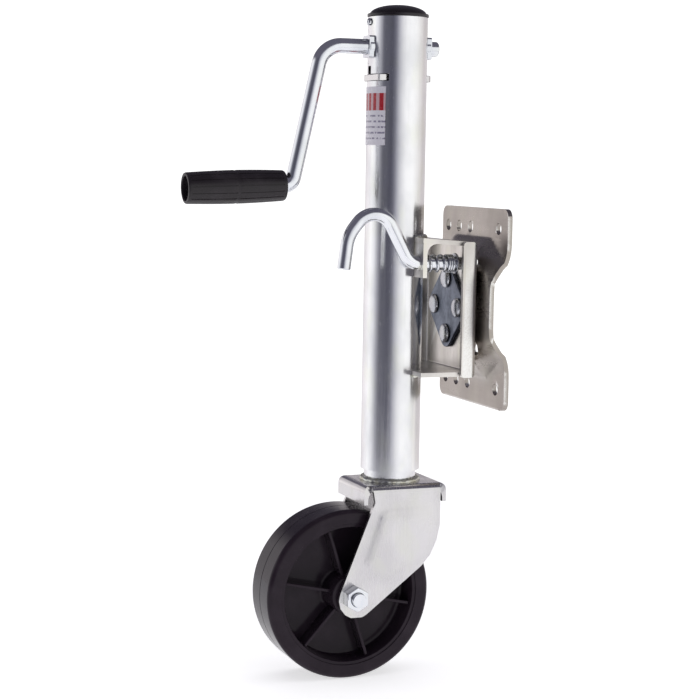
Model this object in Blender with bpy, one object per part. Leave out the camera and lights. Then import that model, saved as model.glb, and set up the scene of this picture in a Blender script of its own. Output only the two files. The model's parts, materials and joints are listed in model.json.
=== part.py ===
"""Swing-up trailer tongue jack with a side crank and one caster wheel, in metres, +Z up.

The origin is the middle of the mounting plane, where the plate meets the trailer's beam, at the height of
the swing pivot. +X points into the beam, the tube stands on the -X side, and -Y is the plunger lock's side.
Shapes are drawn about the tube's axis (x = 0 there) and moved by STANDOFF when they are finished.
"""

import math

import bmesh
import bpy
from mathutils import Matrix, Vector

MM = 0.001
GAP = 0.3 * MM  # left between pieces that touch

# Overall layout
STANDOFF = 79.6 * MM  # tube axis to the beam's face
CRANK_HEIGHT = 220.0 * MM  # crank shaft above the swing pivot
TUBE_TOP = 245.2 * MM
TUBE_BOTTOM = -140.0 * MM
LIFT = 254.0 * MM  # ten inches of travel

# Tubes
TUBE_RADIUS = 25.4 * MM
TUBE_WALL = 2.5 * MM
RAM_PLAY = 0.675 * MM
RAM_WALL = 2.3 * MM
RAM_EXPOSED = 10.0 * MM
RAM_TOP = 173.7 * MM

# Crank shaft, gears and screw
ROD_RADIUS = 6.35 * MM
RUN = 0.3 * MM  # running clearance, on radius
BUSH_FACE = 28.6 * MM
BUSH_SEAT_DEPTH = 1.2 * MM  # of the flats pressed into the tube
BUSH_WIDTH = 15.5 * MM
BUSH_TALL = 18.6 * MM
BUSH_SPIGOT = 8.6 * MM
SHAFT_END = 36.7 * MM
ARM_TOP_X = -67.5 * MM
GRIP_CORNER = Vector((-93.4, 0.0, 102.7)) * MM
GRIP_TILT = math.radians(2.1)
ARM_BEND = 20.0 * MM
GRIP_BEND = 9.0 * MM
PINION_TEETH = 12
GEAR_TEETH = 16
PINION_CORE = 0.2620 * MM  # steel left between the crank shaft and the pinion tooth roots
SCREW_RADIUS = 8.0 * MM
THREAD_DEPTH = 1.5 * MM
LEAD = 6.35 * MM
JOURNAL_RADIUS = 6.4 * MM
PIN_RADIUS = 1.25 * MM
PLATE_THICK = 5.5 * MM
PLATE_TOP = 197.0 * MM
BEARING_TALL = 4.2 * MM
SHOULDER_RADIUS = 11.0 * MM
SHOULDER_TALL = 3.6 * MM
NUT_TALL = 18.0 * MM

# Cap
CAP_LIP = 0.7 * MM  # beyond the tube
CAP_RISE = 10.4 * MM
CAP_SCREW = 1.8 * MM
CAP_SCREW_DROP = 4.4 * MM

# Grip
GRIP_LENGTH = 85.6 * MM
GRIP_MIDDLE = 14.0 * MM
GRIP_OUTER_END = 13.0 * MM
GRIP_INNER_END = 12.8 * MM
GRIP_POCKET = 12.0 * MM
POCKET_RADIUS = 10.2 * MM

# Swivel bracket and its pivot
SHEET = 3.8 * MM
WEB_BACK = 57.2 * MM
WEB_HALF_Y = 50.0 * MM
WEB_HALF_Z = 57.0 * MM
FLANGE_RISE = 3.4 * MM
FLANGE_END_X = 9.0 * MM
FLANGE_END_Y = 43.0 * MM
LIP_DEPTH = 14.2 * MM
LIP_HALF_Z = 57.5 * MM
WEB_LOW_HALF_Z = 51.5 * MM
LIP_GAP = 0.6 * MM
BEND = 5.0 * MM
TAB_BOTTOM = 27.0 * MM
TAB_INNER_Y = -24.0 * MM
BOSS_RADIUS = 28.4 * MM
BOSS_RUN = 0.5 * MM
RIVET_CIRCLE = 24.0 * MM
RIVET_SHANK = 3.4 * MM
RIVET_HEAD = 8.4 * MM
RETAINER_THICK = 3.0 * MM
RETAINER_CORNER = 12.0 * MM
RETAINER_DIAGONAL = RIVET_CIRCLE + math.sqrt(2.0) * RETAINER_CORNER

# Mount plate
MOUNT_SHEET = 4.0 * MM
MOUNT_HALF_Y = 66.75 * MM
MOUNT_HALF_Z = 85.5 * MM
MOUNT_CORNER = 8.0 * MM
TURN_GAP = 2.8 * MM  # bracket web to the raised face
BOLT_HOLE = 5.15 * MM
BOLT_ROWS = 68.5 * MM
BOLT_COLUMNS = (-48.6 * MM, 7.7 * MM, 31.4 * MM, 54.1 * MM)

# Plunger lock
PLUNGER_RADIUS = 5.6 * MM
PLUNGER_Y = -(TUBE_RADIUS + 3.0 * MM + PLUNGER_RADIUS)
PLUNGER_Z = 38.8 * MM
PLUNGER_STROKE = 11.0 * MM
TIP_CLEAR = 0.4 * MM
WASHER_X = 41.2 * MM
WASHER_THICK = 1.6 * MM
SPRING_WIRE = 1.0 * MM
SPRING_OPEN_COILS = 3
SPRING_CLOSE_COILS = 3

# Fork and wheel
FORK_SHEET = 3.5 * MM
FORK_HALF_Y = 33.0 * MM
FORK_LEFT = -35.5 * MM
FORK_RIGHT = 40.0 * MM
FLAP_DROP = 16.0 * MM
FLAP_HALF_Y = 31.0 * MM
AXLE_X = -44.2 * MM
AXLE_DROP = 93.9 * MM  # below the fork's top
LOBE = 16.0 * MM
LOBE_SHIFT = 2.5 * MM
AXLE_RADIUS = 6.0 * MM
WHEEL_RADIUS = 73.0 * MM
WHEEL_WIDTH = 46.5 * MM
WHEEL_SHOULDER = 6.0 * MM
HUB_RADIUS = 17.0 * MM
RIBS = 6

# Heights and places that follow from the sizes above
TUBE_BORE = TUBE_RADIUS - TUBE_WALL
MODULE = TUBE_BORE / 11.4500
CONE_TEETH = math.hypot(PINION_TEETH, GEAR_TEETH)
PINION_ROOT = (PINION_TEETH / 2.0 - 1.1 * GEAR_TEETH / CONE_TEETH) * MODULE
PLATE_WIDE = 17.0 / 22.9 * TUBE_BORE
PLATE_NARROW = 11.0 / 22.9 * TUBE_BORE
SLOT_START = 12.0 / 22.9 * TUBE_BORE
GEAR_FACE = 0.5 * CONE_TEETH * MODULE * (1.0 - (ROD_RADIUS + GAP + PINION_CORE) / PINION_ROOT)
RAM_RADIUS = TUBE_BORE - RAM_PLAY
BUSH_SEAT = TUBE_RADIUS - BUSH_SEAT_DEPTH
BUSH_INNER = TUBE_BORE - 1.3 * MM
PINION_HUB = math.sqrt((TUBE_BORE - GAP) ** 2 - (BUSH_INNER - GAP) ** 2)
RAM_BORE = RAM_RADIUS - RAM_WALL
FORK_TOP = TUBE_BOTTOM - RAM_EXPOSED
WEB_FRONT = WEB_BACK - SHEET
RAISED_FACE = WEB_BACK + TURN_GAP
RETAINER_BACK = WEB_FRONT - GAP
RETAINER_FRONT = RETAINER_BACK - RETAINER_THICK
PLATE_BOTTOM = PLATE_TOP - PLATE_THICK
BEARING_TOP = PLATE_BOTTOM - GAP
BEARING_BOTTOM = BEARING_TOP - BEARING_TALL
SHOULDER_TOP = BEARING_BOTTOM - GAP
SHOULDER_BOTTOM = SHOULDER_TOP - SHOULDER_TALL
SCREW_BOTTOM = RAM_TOP - NUT_TALL - LIFT - 4.0 * MM
AXLE = Vector((AXLE_X, 0.0, FORK_TOP - AXLE_DROP))
PLUNGER_TIP = RAISED_FACE - TIP_CLEAR

X_AXIS = Vector((1.0, 0.0, 0.0))
Y_AXIS = Vector((0.0, 1.0, 0.0))
Z_AXIS = Vector((0.0, 0.0, 1.0))

FINISHES = {
    "tube_zinc": ((0.66, 0.67, 0.67), 1.0, 0.32),
    "sheet_zinc": ((0.60, 0.58, 0.54), 0.9, 0.45),
    "fork_zinc": ((0.75, 0.75, 0.74), 0.9, 0.40),
    "bright_zinc": ((0.70, 0.72, 0.75), 1.0, 0.18),
    "blue_steel": ((0.24, 0.26, 0.30), 0.9, 0.40),
    "plain_steel": ((0.45, 0.45, 0.46), 1.0, 0.40),
    "bronze": ((0.55, 0.40, 0.20), 1.0, 0.35),
    "satin_black": ((0.03, 0.03, 0.035), 0.0, 0.45),
    "gloss_black": ((0.02, 0.02, 0.024), 0.0, 0.18),
    "paper_label": ((0.85, 0.84, 0.84), 0.0, 0.35),
}


def clear_scene():
    for old in list(bpy.data.objects):
        bpy.data.objects.remove(old, do_unlink=True)


def finish_material(name):
    """A plain Principled material with a finish's colour, metallic and roughness values."""
    found = bpy.data.materials.get(name)
    if found:
        return found
    colour, metallic, roughness = FINISHES[name]
    made = bpy.data.materials.new(name)
    made.use_nodes = True
    shader = made.node_tree.nodes["Principled BSDF"]
    shader.inputs["Base Color"].default_value = (*colour, 1.0)
    shader.inputs["Metallic"].default_value = metallic
    shader.inputs["Roughness"].default_value = roughness
    return made


def body_empty(name, place):
    """An empty on a joint's axis, which the moving pieces of that body are parented to."""
    made = bpy.data.objects.new(name, None)
    bpy.context.scene.collection.objects.link(made)
    made.location = place - STANDOFF * X_AXIS
    return made


def solid(name, shape):
    """An object from a bmesh, with its faces turned outwards."""
    bmesh.ops.recalc_face_normals(shape, faces=shape.faces)
    mesh = bpy.data.meshes.new(name)
    shape.to_mesh(mesh)
    shape.free()
    made = bpy.data.objects.new(name, mesh)
    bpy.context.scene.collection.objects.link(made)
    return made


def combine(target, other, operation):
    """Join, cut or intersect the target with another object, which is used up."""
    change = target.modifiers.new(operation.lower(), "BOOLEAN")
    change.operation = operation
    change.object = other
    change.solver = "EXACT"
    bpy.context.view_layer.update()
    graph = bpy.context.evaluated_depsgraph_get()
    result = bpy.data.meshes.new_from_object(target.evaluated_get(graph))
    target.modifiers.clear()
    target.data = result
    bpy.data.objects.remove(other, do_unlink=True)
    return target


def join(target, *others):
    for other in others:
        combine(target, other, "UNION")
    return target


def cut(target, *others):
    for other in others:
        combine(target, other, "DIFFERENCE")
    return target


def finished(piece, finish, body=None):
    """Dress and shade a piece, move it from the tube's axis to the frame's origin, hang it on its body."""
    piece.data.materials.clear()
    piece.data.materials.append(finish_material(finish))
    shift = -STANDOFF * X_AXIS
    if body:
        shift = shift - body.location
        piece.parent = body
    piece.data.transform(Matrix.Translation(shift))
    piece.data.shade_smooth()
    piece.data.set_sharp_from_angle(angle=math.radians(32.0))
    return piece


def turn_onto(axis):
    """The rotation that takes +Z to the given direction."""
    return Z_AXIS.rotation_difference(axis).to_matrix().to_4x4()


def turned(name, profile, centre=Vector(), axis=Z_AXIS, steps=32, start=0.0):
    """A solid of revolution. The profile is a closed loop of (radius, height) points; radius 0 is a pole."""
    shape = bmesh.new()
    rings = []
    for radius, height in profile:
        if radius <= 0.0:
            rings.append([shape.verts.new((0.0, 0.0, height))])
            continue
        ring = []
        for k in range(steps):
            angle = start + math.tau * k / steps
            ring.append(shape.verts.new((radius * math.cos(angle), radius * math.sin(angle), height)))
        rings.append(ring)
    for i, ring in enumerate(rings):
        after = rings[(i + 1) % len(rings)]
        if len(ring) == 1 and len(after) == 1:
            continue
        if min(len(ring), len(after)) == 1 and profile[i][1] == profile[(i + 1) % len(rings)][1]:
            shape.faces.new(max(ring, after, key=len))
            continue
        for k in range(steps):
            corners = [ring[k % len(ring)], ring[(k + 1) % len(ring)]]
            corners += [after[(k + 1) % len(after)], after[k % len(after)]]
            shape.faces.new(list(dict.fromkeys(corners)))
    loose = [vert for vert in shape.verts if not vert.link_faces]
    bmesh.ops.delete(shape, geom=loose, context="VERTS")
    bmesh.ops.transform(shape, matrix=Matrix.Translation(centre) @ turn_onto(axis), verts=shape.verts)
    return solid(name, shape)


def bar(name, start, end, radius, steps=24):
    """A plain round bar between two points."""
    length = (end - start).length
    profile = [(0.0, 0.0), (radius, 0.0), (radius, length), (0.0, length)]
    return turned(name, profile, start, (end - start).normalized(), steps)


def ring(name, inner, outer, low, high, centre=Vector(), axis=Z_AXIS, steps=32):
    """A plain ring or tube along an axis."""
    profile = [(inner, low), (outer, low), (outer, high), (inner, high)]
    return turned(name, profile, centre, axis, steps)


def hexagon(name, across_flats, start, end):
    """A hexagonal bar between two points, with its corners chamfered at the far end."""
    corner = across_flats / math.sqrt(3.0)
    length = (end - start).length
    chamfer = 0.12 * corner
    profile = [(0.0, 0.0), (corner, 0.0), (corner, length - 0.5 * chamfer)]
    profile += [(corner - chamfer, length), (0.0, length)]
    return turned(name, profile, start, (end - start).normalized(), 6, math.radians(30.0))


def rounded(points, radii, steps=5, closed=False):
    """A path through straight legs with arcs at its corners; one radius for each point, 0 keeps it sharp."""
    count = len(points)
    path = []
    for i, here in enumerate(points):
        radius = radii[i]
        if radius <= 0.0 or (not closed and i in (0, count - 1)):
            path.append(here.copy())
            continue
        back = (points[i - 1] - here).normalized()
        ahead = (points[(i + 1) % count] - here).normalized()
        half = back.angle(ahead) / 2.0
        middle = here + (back + ahead).normalized() * (radius / math.sin(half))
        first = here + back * (radius / math.tan(half))
        last = here + ahead * (radius / math.tan(half))
        for k in range(steps + 1):
            spoke = (first - middle).slerp(last - middle, k / steps)
            path.append(middle + spoke.normalized() * radius)
    return path


def swept(name, path, radius, sides=16, close_round=0.0):
    """A round rod along a path of 3-D points, with its two ends rounded over close_round."""
    points = [p.copy() for p in path]
    radii = [radius] * len(points)
    if close_round > 0.0:
        for end in (0, -1):
            inward = points[1] - points[0] if end == 0 else points[-2] - points[-1]
            shoulder = points[end] + inward.normalized() * close_round
            if end == 0:
                points.insert(1, shoulder)
                radii.insert(0, radius - 0.7 * close_round)
            else:
                points.insert(-1, shoulder)
                radii.append(radius - 0.7 * close_round)
    shape = bmesh.new()
    tangent = (points[1] - points[0]).normalized()
    side = tangent.cross(Y_AXIS if abs(tangent.dot(Y_AXIS)) < 0.9 else X_AXIS).normalized()
    rings = []
    for i, point in enumerate(points):
        back = (point - points[i - 1]).normalized() if i else tangent
        ahead = (points[i + 1] - point).normalized() if i + 1 < len(points) else back
        along = (back + ahead).normalized()
        side = (side - along * side.dot(along)).normalized()
        up = along.cross(side)
        stretch = 1.0 / max(along.dot(back), 0.5)
        circle = []
        for k in range(sides):
            angle = math.tau * k / sides
            reach = radii[i] * (1.0 if i in (0, len(points) - 1) else stretch)
            offset = side * math.cos(angle) * reach + up * math.sin(angle) * radii[i]
            circle.append(shape.verts.new(point + offset))
        rings.append(circle)
    for here, after in zip(rings, rings[1:]):
        for k in range(sides):
            shape.faces.new((here[k], here[(k + 1) % sides], after[(k + 1) % sides], after[k]))
    shape.faces.new(rings[0])
    shape.faces.new(rings[-1])
    return solid(name, shape)


def flat(name, outline, axis, low, high):
    """A plate: an outline of 2-D points, thick from low to high along the axis (0 is X, 1 is Y, 2 is Z)."""
    shape = bmesh.new()
    ends = []
    for level in (low, high):
        loop = []
        for point in outline:
            place = [point[0], point[1]]
            place.insert(axis, level)
            loop.append(shape.verts.new(place))
        ends.append(loop)
        shape.faces.new(loop)
    count = len(outline)
    for k in range(count):
        after = (k + 1) % count
        shape.faces.new((ends[0][k], ends[0][after], ends[1][after], ends[1][k]))
    return solid(name, shape)


def block(name, low, high):
    outline = [(low[1], low[2]), (high[1], low[2]), (high[1], high[2]), (low[1], high[2])]
    return flat(name, outline, 0, low[0], high[0])


def inset_corners(points, thickness):
    """An open path of corners moved sideways by a sheet's thickness, to its right-hand side."""
    moved = []
    for i, here in enumerate(points):
        back = (here - points[i - 1]).normalized() if i else (points[1] - here).normalized()
        ahead = (points[i + 1] - here).normalized() if i + 1 < len(points) else back
        first = Vector((back.y, -back.x))
        second = Vector((ahead.y, -ahead.x))
        mitre = (first + second).normalized()
        moved.append(here + mitre * (thickness / mitre.dot(first)))
    return moved


def bent_sheet(name, corners, thickness, bend, axis, reach, steps=4):
    """A bent sheet: its outer line's 2-D corners, and reach(point) for its two ends along the axis."""
    radii = [0.0] + [bend] * (len(corners) - 2) + [0.0]
    outer = rounded(corners, radii, steps)
    inner_radii = [max(r - thickness, 0.3 * MM) if r else 0.0 for r in radii]
    inner = rounded(inset_corners(corners, thickness), inner_radii, steps)
    shape = bmesh.new()
    grid = []
    for line in (outer, inner):
        rows = []
        for point, guide in zip(line, outer):
            pair = []
            for level in reach(guide):
                place = [point.x, point.y]
                place.insert(axis, level)
                pair.append(shape.verts.new(place))
            rows.append(pair)
        grid.append(rows)
    top, under = grid
    last = len(outer) - 1
    for i in range(last):
        shape.faces.new((top[i][0], top[i + 1][0], top[i + 1][1], top[i][1]))
        shape.faces.new((under[i][0], under[i][1], under[i + 1][1], under[i + 1][0]))
        for side in (0, 1):
            shape.faces.new((top[i][side], top[i + 1][side], under[i + 1][side], under[i][side]))
    for i in (0, last):
        shape.faces.new((top[i][0], top[i][1], under[i][1], under[i][0]))
    return solid(name, shape)


def mount_plate():
    """Pressed plate: flat ears against the beam and a middle raised towards the tube, with index holes."""
    front = STANDOFF - MOUNT_SHEET
    run = 12.0 * MM
    foot_y, foot_z = 36.0 * MM, 59.5 * MM
    top_y, top_z, top_side = 32.0 * MM, foot_z - run, 25.0 * MM
    taper = (top_z - top_side) / (MOUNT_HALF_Y - top_y)
    side_z = foot_z - taper * (MOUNT_HALF_Y - foot_y)
    inward = MOUNT_SHEET * math.tan(math.atan2(front - RAISED_FACE, run) / 2.0)
    side_in = inward * math.hypot(1.0, taper)
    end_in = (side_in - inward) / taper
    shape = bmesh.new()
    behind = {}

    def corner(x, y, z, in_y=0.0, in_z=0.0):
        """A corner of the front skin; the back skin's corner is one sheet behind it and moved inwards."""
        made = shape.verts.new((x, y, z))
        behind[made] = (x + MOUNT_SHEET, y - math.copysign(in_y, y), z - math.copysign(in_z, z))
        return made

    high = {}
    low = {}
    for sy in (-1, 1):
        for sz in (-1, 1):
            high["side", sy, sz] = corner(RAISED_FACE, sy * MOUNT_HALF_Y, sz * top_side, 0.0, side_in)
            high["end", sy, sz] = corner(RAISED_FACE, sy * top_y, sz * top_z, end_in, inward)
            low["side", sy, sz] = corner(front, sy * MOUNT_HALF_Y, sz * side_z, 0.0, side_in)
            low["end", sy, sz] = corner(front, sy * foot_y, sz * foot_z, end_in, inward)
            slope = (high["side", sy, sz], high["end", sy, sz], low["end", sy, sz], low["side", sy, sz])
            shape.faces.new(slope)
    for sz in (-1, 1):
        shape.faces.new((high["end", -1, sz], high["end", 1, sz], low["end", 1, sz], low["end", -1, sz]))
        arcs = {}
        for sy in (-1, 1):
            arcs[sy] = []
            for k in range(6):
                angle = math.radians(18.0 * k)
                y = sy * (MOUNT_HALF_Y - MOUNT_CORNER + MOUNT_CORNER * math.cos(angle))
                z = sz * (MOUNT_HALF_Z - MOUNT_CORNER + MOUNT_CORNER * math.sin(angle))
                arcs[sy].append(corner(front, y, z))
            shape.faces.new([low["side", sy, sz], *arcs[sy], low["end", sy, sz]])
        shape.faces.new((low["end", -1, sz], low["end", 1, sz], arcs[1][-1], arcs[-1][-1]))
    middle = [high["side", -1, -1], high["side", -1, 1], high["end", -1, 1], high["end", 1, 1]]
    middle += [high["side", 1, 1], high["side", 1, -1], high["end", 1, -1], high["end", -1, -1]]
    shape.faces.new(middle)
    skin = list(shape.faces)
    rim = [edge for edge in shape.edges if edge.is_boundary]
    back = {vert: shape.verts.new(place) for vert, place in behind.items()}
    for face in skin:
        shape.faces.new([back[vert] for vert in face.verts])
    for edge in rim:
        first, last = edge.verts
        shape.faces.new((first, last, back[last], back[first]))
    plate = solid("mount_plate", shape)
    for row in (-BOLT_ROWS, BOLT_ROWS):
        for column in BOLT_COLUMNS:
            cut(plate, through_x(column, row, BOLT_HOLE, front - 5.0 * MM, STANDOFF + 5.0 * MM, 16))
    for y, z in index_places():
        cut(plate, through_x(y, z, PLUNGER_RADIUS + RUN, RAISED_FACE - 5.0 * MM, RAISED_FACE + 9.0 * MM, 20))
    for y, z in rivet_places().values():
        cut(plate, through_x(y, z, RIVET_SHANK + GAP, RAISED_FACE - 5.0 * MM, RAISED_FACE + 9.0 * MM, 12))
    return finished(plate, "sheet_zinc")


def through_x(y, z, radius, low, high, steps=20):
    """A cutter: a round bar along X."""
    return bar("cutter", Vector((low, y, z)), Vector((high, y, z)), radius, steps)


def index_places():
    """The plunger's hole at rest, and where it comes to with the jack swung a quarter turn each way."""
    return [(PLUNGER_Y, PLUNGER_Z), (-PLUNGER_Z, PLUNGER_Y), (PLUNGER_Z, -PLUNGER_Y)]


def rivet_places():
    return {
        "rivet_top": (0.0, RIVET_CIRCLE),
        "rivet_bottom": (0.0, -RIVET_CIRCLE),
        "rivet_front": (-RIVET_CIRCLE, 0.0),
        "rivet_back": (RIVET_CIRCLE, 0.0),
    }


def pivot_parts():
    """The boss that the bracket turns on, the plate that keeps it there, and the four rivets."""
    boss_profile = [(0.0, RETAINER_BACK + GAP), (BOSS_RADIUS, RETAINER_BACK + GAP)]
    boss_profile += [(BOSS_RADIUS, RAISED_FACE - GAP), (0.0, RAISED_FACE - GAP)]
    boss = turned("pivot_boss", boss_profile, axis=X_AXIS, steps=36)
    diagonal = RETAINER_DIAGONAL
    square = [Vector((0.0, diagonal)), Vector((-diagonal, 0.0))]
    square += [Vector((0.0, -diagonal)), Vector((diagonal, 0.0))]
    outline = rounded(square, [RETAINER_CORNER] * 4, 5, closed=True)
    retainer = flat("retaining_plate", outline, 0, RETAINER_FRONT, RETAINER_BACK)
    for y, z in rivet_places().values():
        for piece in (boss, retainer):
            low, high = RETAINER_FRONT - 5.0 * MM, RAISED_FACE + 5.0 * MM
            cut(piece, through_x(y, z, RIVET_SHANK + GAP, low, high, 12))
    finished(boss, "sheet_zinc")
    finished(retainer, "blue_steel")
    head = RETAINER_FRONT - GAP
    tail = RAISED_FACE + MOUNT_SHEET + GAP
    crown = 3.8 * MM
    angles = [math.radians(22.5 * k) for k in range(4)]
    dome = [(RIVET_HEAD * math.cos(a), head - crown * math.sin(a)) for a in angles]
    profile = [(0.0, head - crown)] + dome[::-1] + [(RIVET_SHANK, head), (RIVET_SHANK, tail)]
    profile += [(1.5 * RIVET_SHANK, tail), (1.3 * RIVET_SHANK, tail + 2.6 * MM), (0.0, tail + 2.6 * MM)]
    for name, (y, z) in rivet_places().items():
        finished(turned(name, profile, Vector((0.0, y, z)), X_AXIS, 16), "bright_zinc")


def swivel_bracket(jack):
    """Pressed pan open towards the tube: web, tilted top flange with the plunger's tab, flange, two lips."""
    tilt = FLANGE_RISE / (WEB_BACK - FLANGE_END_X)

    def flange_reach(point):
        share = (WEB_BACK - point.x) / (WEB_BACK - FLANGE_END_X)
        wide = WEB_HALF_Y - SHEET - LIP_GAP
        half = wide - (wide - FLANGE_END_Y) * min(max(share, 0.0), 1.0)
        return -half, half

    top_line = WEB_HALF_Z + tilt * (WEB_BACK - FLANGE_END_X)
    flanges = [Vector((FLANGE_END_X, -WEB_HALF_Z)), Vector((WEB_BACK, -WEB_HALF_Z))]
    flanges += [Vector((WEB_BACK, WEB_HALF_Z)), Vector((FLANGE_END_X, top_line))]
    pan = bent_sheet("swivel_bracket", flanges[::-1], SHEET, BEND, 1, flange_reach)

    def lip_reach(point):
        corner = 3.0 * MM
        edge = point.x - (WEB_BACK - LIP_DEPTH)
        drop = 0.0 if edge > corner else corner - math.sqrt(max(corner**2 - (corner - edge) ** 2, 0.0))
        share = min(max((abs(point.y) - WEB_HALF_Y + BEND) / BEND, 0.0), 1.0)
        half = WEB_LOW_HALF_Z + (LIP_HALF_Z - WEB_LOW_HALF_Z) * share - drop
        return -half, half

    lip_end = WEB_BACK - LIP_DEPTH
    places = [lip_end + k * 0.75 * MM for k in range(5)]
    lips = [Vector((x, -WEB_HALF_Y)) for x in places] + [Vector((WEB_BACK, -WEB_HALF_Y))]
    lips += [Vector((WEB_BACK, WEB_HALF_Y))] + [Vector((x, WEB_HALF_Y)) for x in reversed(places)]
    join(pan, lipped_channel(lips, lip_reach))
    tab = [Vector((WEB_BACK - 30.0 * MM, top_line - tilt * (WEB_BACK - 30.0 * MM - FLANGE_END_X)))]
    tab += [Vector((FLANGE_END_X, top_line)), Vector((FLANGE_END_X, TAB_BOTTOM))]
    join(pan, bent_sheet("tab", tab, -SHEET, BEND, 1, lambda point: (-FLANGE_END_Y, TAB_INNER_Y)))
    far = 100.0 * MM
    tube_room = bar("cutter", Vector((0.0, 0.0, -far)), Vector((0.0, 0.0, far)), TUBE_RADIUS + GAP, 48)
    cut(pan, tube_room)
    cut(pan, through_x(0.0, 0.0, BOSS_RADIUS + BOSS_RUN, WEB_FRONT - 9.0 * MM, WEB_BACK + 5.0 * MM, 48))
    pin_room = PLUNGER_RADIUS + RUN
    cut(pan, through_x(PLUNGER_Y, PLUNGER_Z, pin_room, FLANGE_END_X - 5.0 * MM, WEB_BACK + 5.0 * MM, 24))
    return finished(pan, "sheet_zinc", jack)


def lipped_channel(corners, reach):
    """The web with its two lips: a channel along Z whose free edges have rounded ends."""
    inner = inset_corners(corners, -SHEET)
    radii = [BEND if abs(c.x - WEB_BACK) < 1e-6 else 0.0 for c in corners]
    outer_line = rounded(corners, radii, 4)
    inner_line = rounded(inner, [max(r - SHEET, 0.3 * MM) if r else 0.0 for r in radii], 4)
    shape = bmesh.new()
    rows = []
    for outer, under in zip(outer_line, inner_line):
        low, high = reach(outer)
        corners_here = ((outer, low), (outer, high), (under, high), (under, low))
        rows.append([shape.verts.new((p.x, p.y, level)) for p, level in corners_here])
    for here, after in zip(rows, rows[1:]):
        for k in range(4):
            shape.faces.new((here[k], here[(k + 1) % 4], after[(k + 1) % 4], after[k]))
    shape.faces.new(rows[0])
    shape.faces.new(rows[-1])
    return solid("lips", shape)


def outer_tube(jack):
    """Outer tube with flats for the bushes, their holes, the thrust plate's slots and a screw hole."""
    low, high = TUBE_BOTTOM, TUBE_TOP
    tube = turned("outer_tube", [(0.0, low), (TUBE_RADIUS, low), (TUBE_RADIUS, high), (0.0, high)], steps=48)
    cut(tube, bar("cutter", Vector((0, 0, low - 5 * MM)), Vector((0, 0, high + 5 * MM)), TUBE_BORE, 48))
    beyond = TUBE_RADIUS + 2.0 * MM
    for side in (-1.0, 1.0):
        seat = [(BUSH_SEAT, -13.0 * MM), (BUSH_SEAT, 13.0 * MM), (beyond, 22.0 * MM), (beyond, -22.0 * MM)]
        outline = [(side * reach, CRANK_HEIGHT + height) for reach, height in seat]
        cut(tube, flat("cutter", outline, 1, -12.0 * MM, 12.0 * MM))
    for side in (-1.0, 1.0):
        start = Vector((side * 15.0 * MM, 0.0, CRANK_HEIGHT))
        cut(tube, bar("cutter", start, start + side * 20.0 * MM * X_AXIS, BUSH_SPIGOT + GAP, 32))
    slot_low, slot_high = PLATE_BOTTOM - GAP, PLATE_TOP + GAP
    near, far = SLOT_START, 40.0 * MM
    wide, narrow = PLATE_WIDE + 3.0 * MM, PLATE_NARROW + 0.5 * MM
    notch = 3.0 * MM
    cut(tube, block("cutter", (-far, -wide, slot_low), (-near, wide, slot_high)))
    cut(tube, block("cutter", (-far, -notch, slot_high - MM), (-near, notch, slot_high + 6.6 * MM)))
    cut(tube, block("cutter", (near, -narrow, slot_low), (far, narrow, slot_high)))
    cut(tube, bar("cutter", cap_screw_place(15.0 * MM), cap_screw_place(35.0 * MM), CAP_SCREW + GAP, 16))
    return finished(tube, "tube_zinc", jack)


def cap_screw_place(reach):
    return Vector((-reach, 0.0, TUBE_TOP - CAP_SCREW_DROP))


def cap_parts(jack):
    """Domed plastic cap with a skirt inside the tube, and the screw that holds it."""
    rim = TUBE_TOP + GAP
    outer = TUBE_RADIUS + CAP_LIP
    skirt = TUBE_BORE - GAP
    skirt_low = TUBE_TOP - 15.0 * MM
    dome_low = rim + 3.2 * MM
    profile = [(skirt - 2.0 * MM, skirt_low), (skirt, skirt_low), (skirt, rim), (outer, rim)]
    profile += [(outer, rim + 2.2 * MM), (outer - 1.0 * MM, dome_low)]
    for k in range(1, 6):
        angle = math.radians(18.0 * k)
        radius = (outer - 2.0 * MM) * math.cos(angle) if k < 5 else 0.0
        profile.append((radius, dome_low + (rim + CAP_RISE - dome_low) * math.sin(angle)))
    profile += [(0.0, rim - MM), (skirt - 2.0 * MM, rim - MM)]
    cap = turned("top_cap", profile, steps=36)
    cut(cap, bar("cutter", cap_screw_place(15.0 * MM), cap_screw_place(35.0 * MM), CAP_SCREW + GAP, 16))
    finished(cap, "satin_black", jack)
    head = TUBE_RADIUS + GAP
    tip = skirt - 4.0 * MM
    screw_profile = [(0.0, tip), (CAP_SCREW, tip), (CAP_SCREW, head), (3.2 * MM, head)]
    screw_profile += [(2.9 * MM, head + 1.3 * MM), (1.6 * MM, head + 2.1 * MM), (0.0, head + 2.3 * MM)]
    screw = turned("cap_screw", screw_profile, Vector((0, 0, TUBE_TOP - CAP_SCREW_DROP)), -X_AXIS, 16)
    finished(screw, "bright_zinc", jack)


def shaft_bushes(jack):
    """Two bushes with a square outer face and a round spigot through the tube's wall."""
    half_y, half_z = BUSH_WIDTH / 2.0, BUSH_TALL / 2.0
    signs = ((-1, -1), (1, -1), (1, 1), (-1, 1))
    for name, side in (("shaft_bush_outer", -1.0), ("shaft_bush_inner", 1.0)):
        corners = [Vector((sy * half_y, CRANK_HEIGHT + sz * half_z)) for sy, sz in signs]
        outline = rounded(corners, [1.8 * MM] * 4, 4, closed=True)
        low, high = sorted((side * (BUSH_SEAT + GAP), side * BUSH_FACE))
        bush = flat(name, outline, 0, low, high)
        centre = Vector((0.0, 0.0, CRANK_HEIGHT))
        out = side * X_AXIS
        spigot_end = centre + (BUSH_FACE - MM) * out
        join(bush, bar("spigot", centre + BUSH_INNER * out, spigot_end, BUSH_SPIGOT, 32))
        cut(bush, bar("cutter", centre + 15.0 * MM * out, centre + 40.0 * MM * out, ROD_RADIUS + RUN, 24))
        finished(bush, "bright_zinc", jack)


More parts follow.
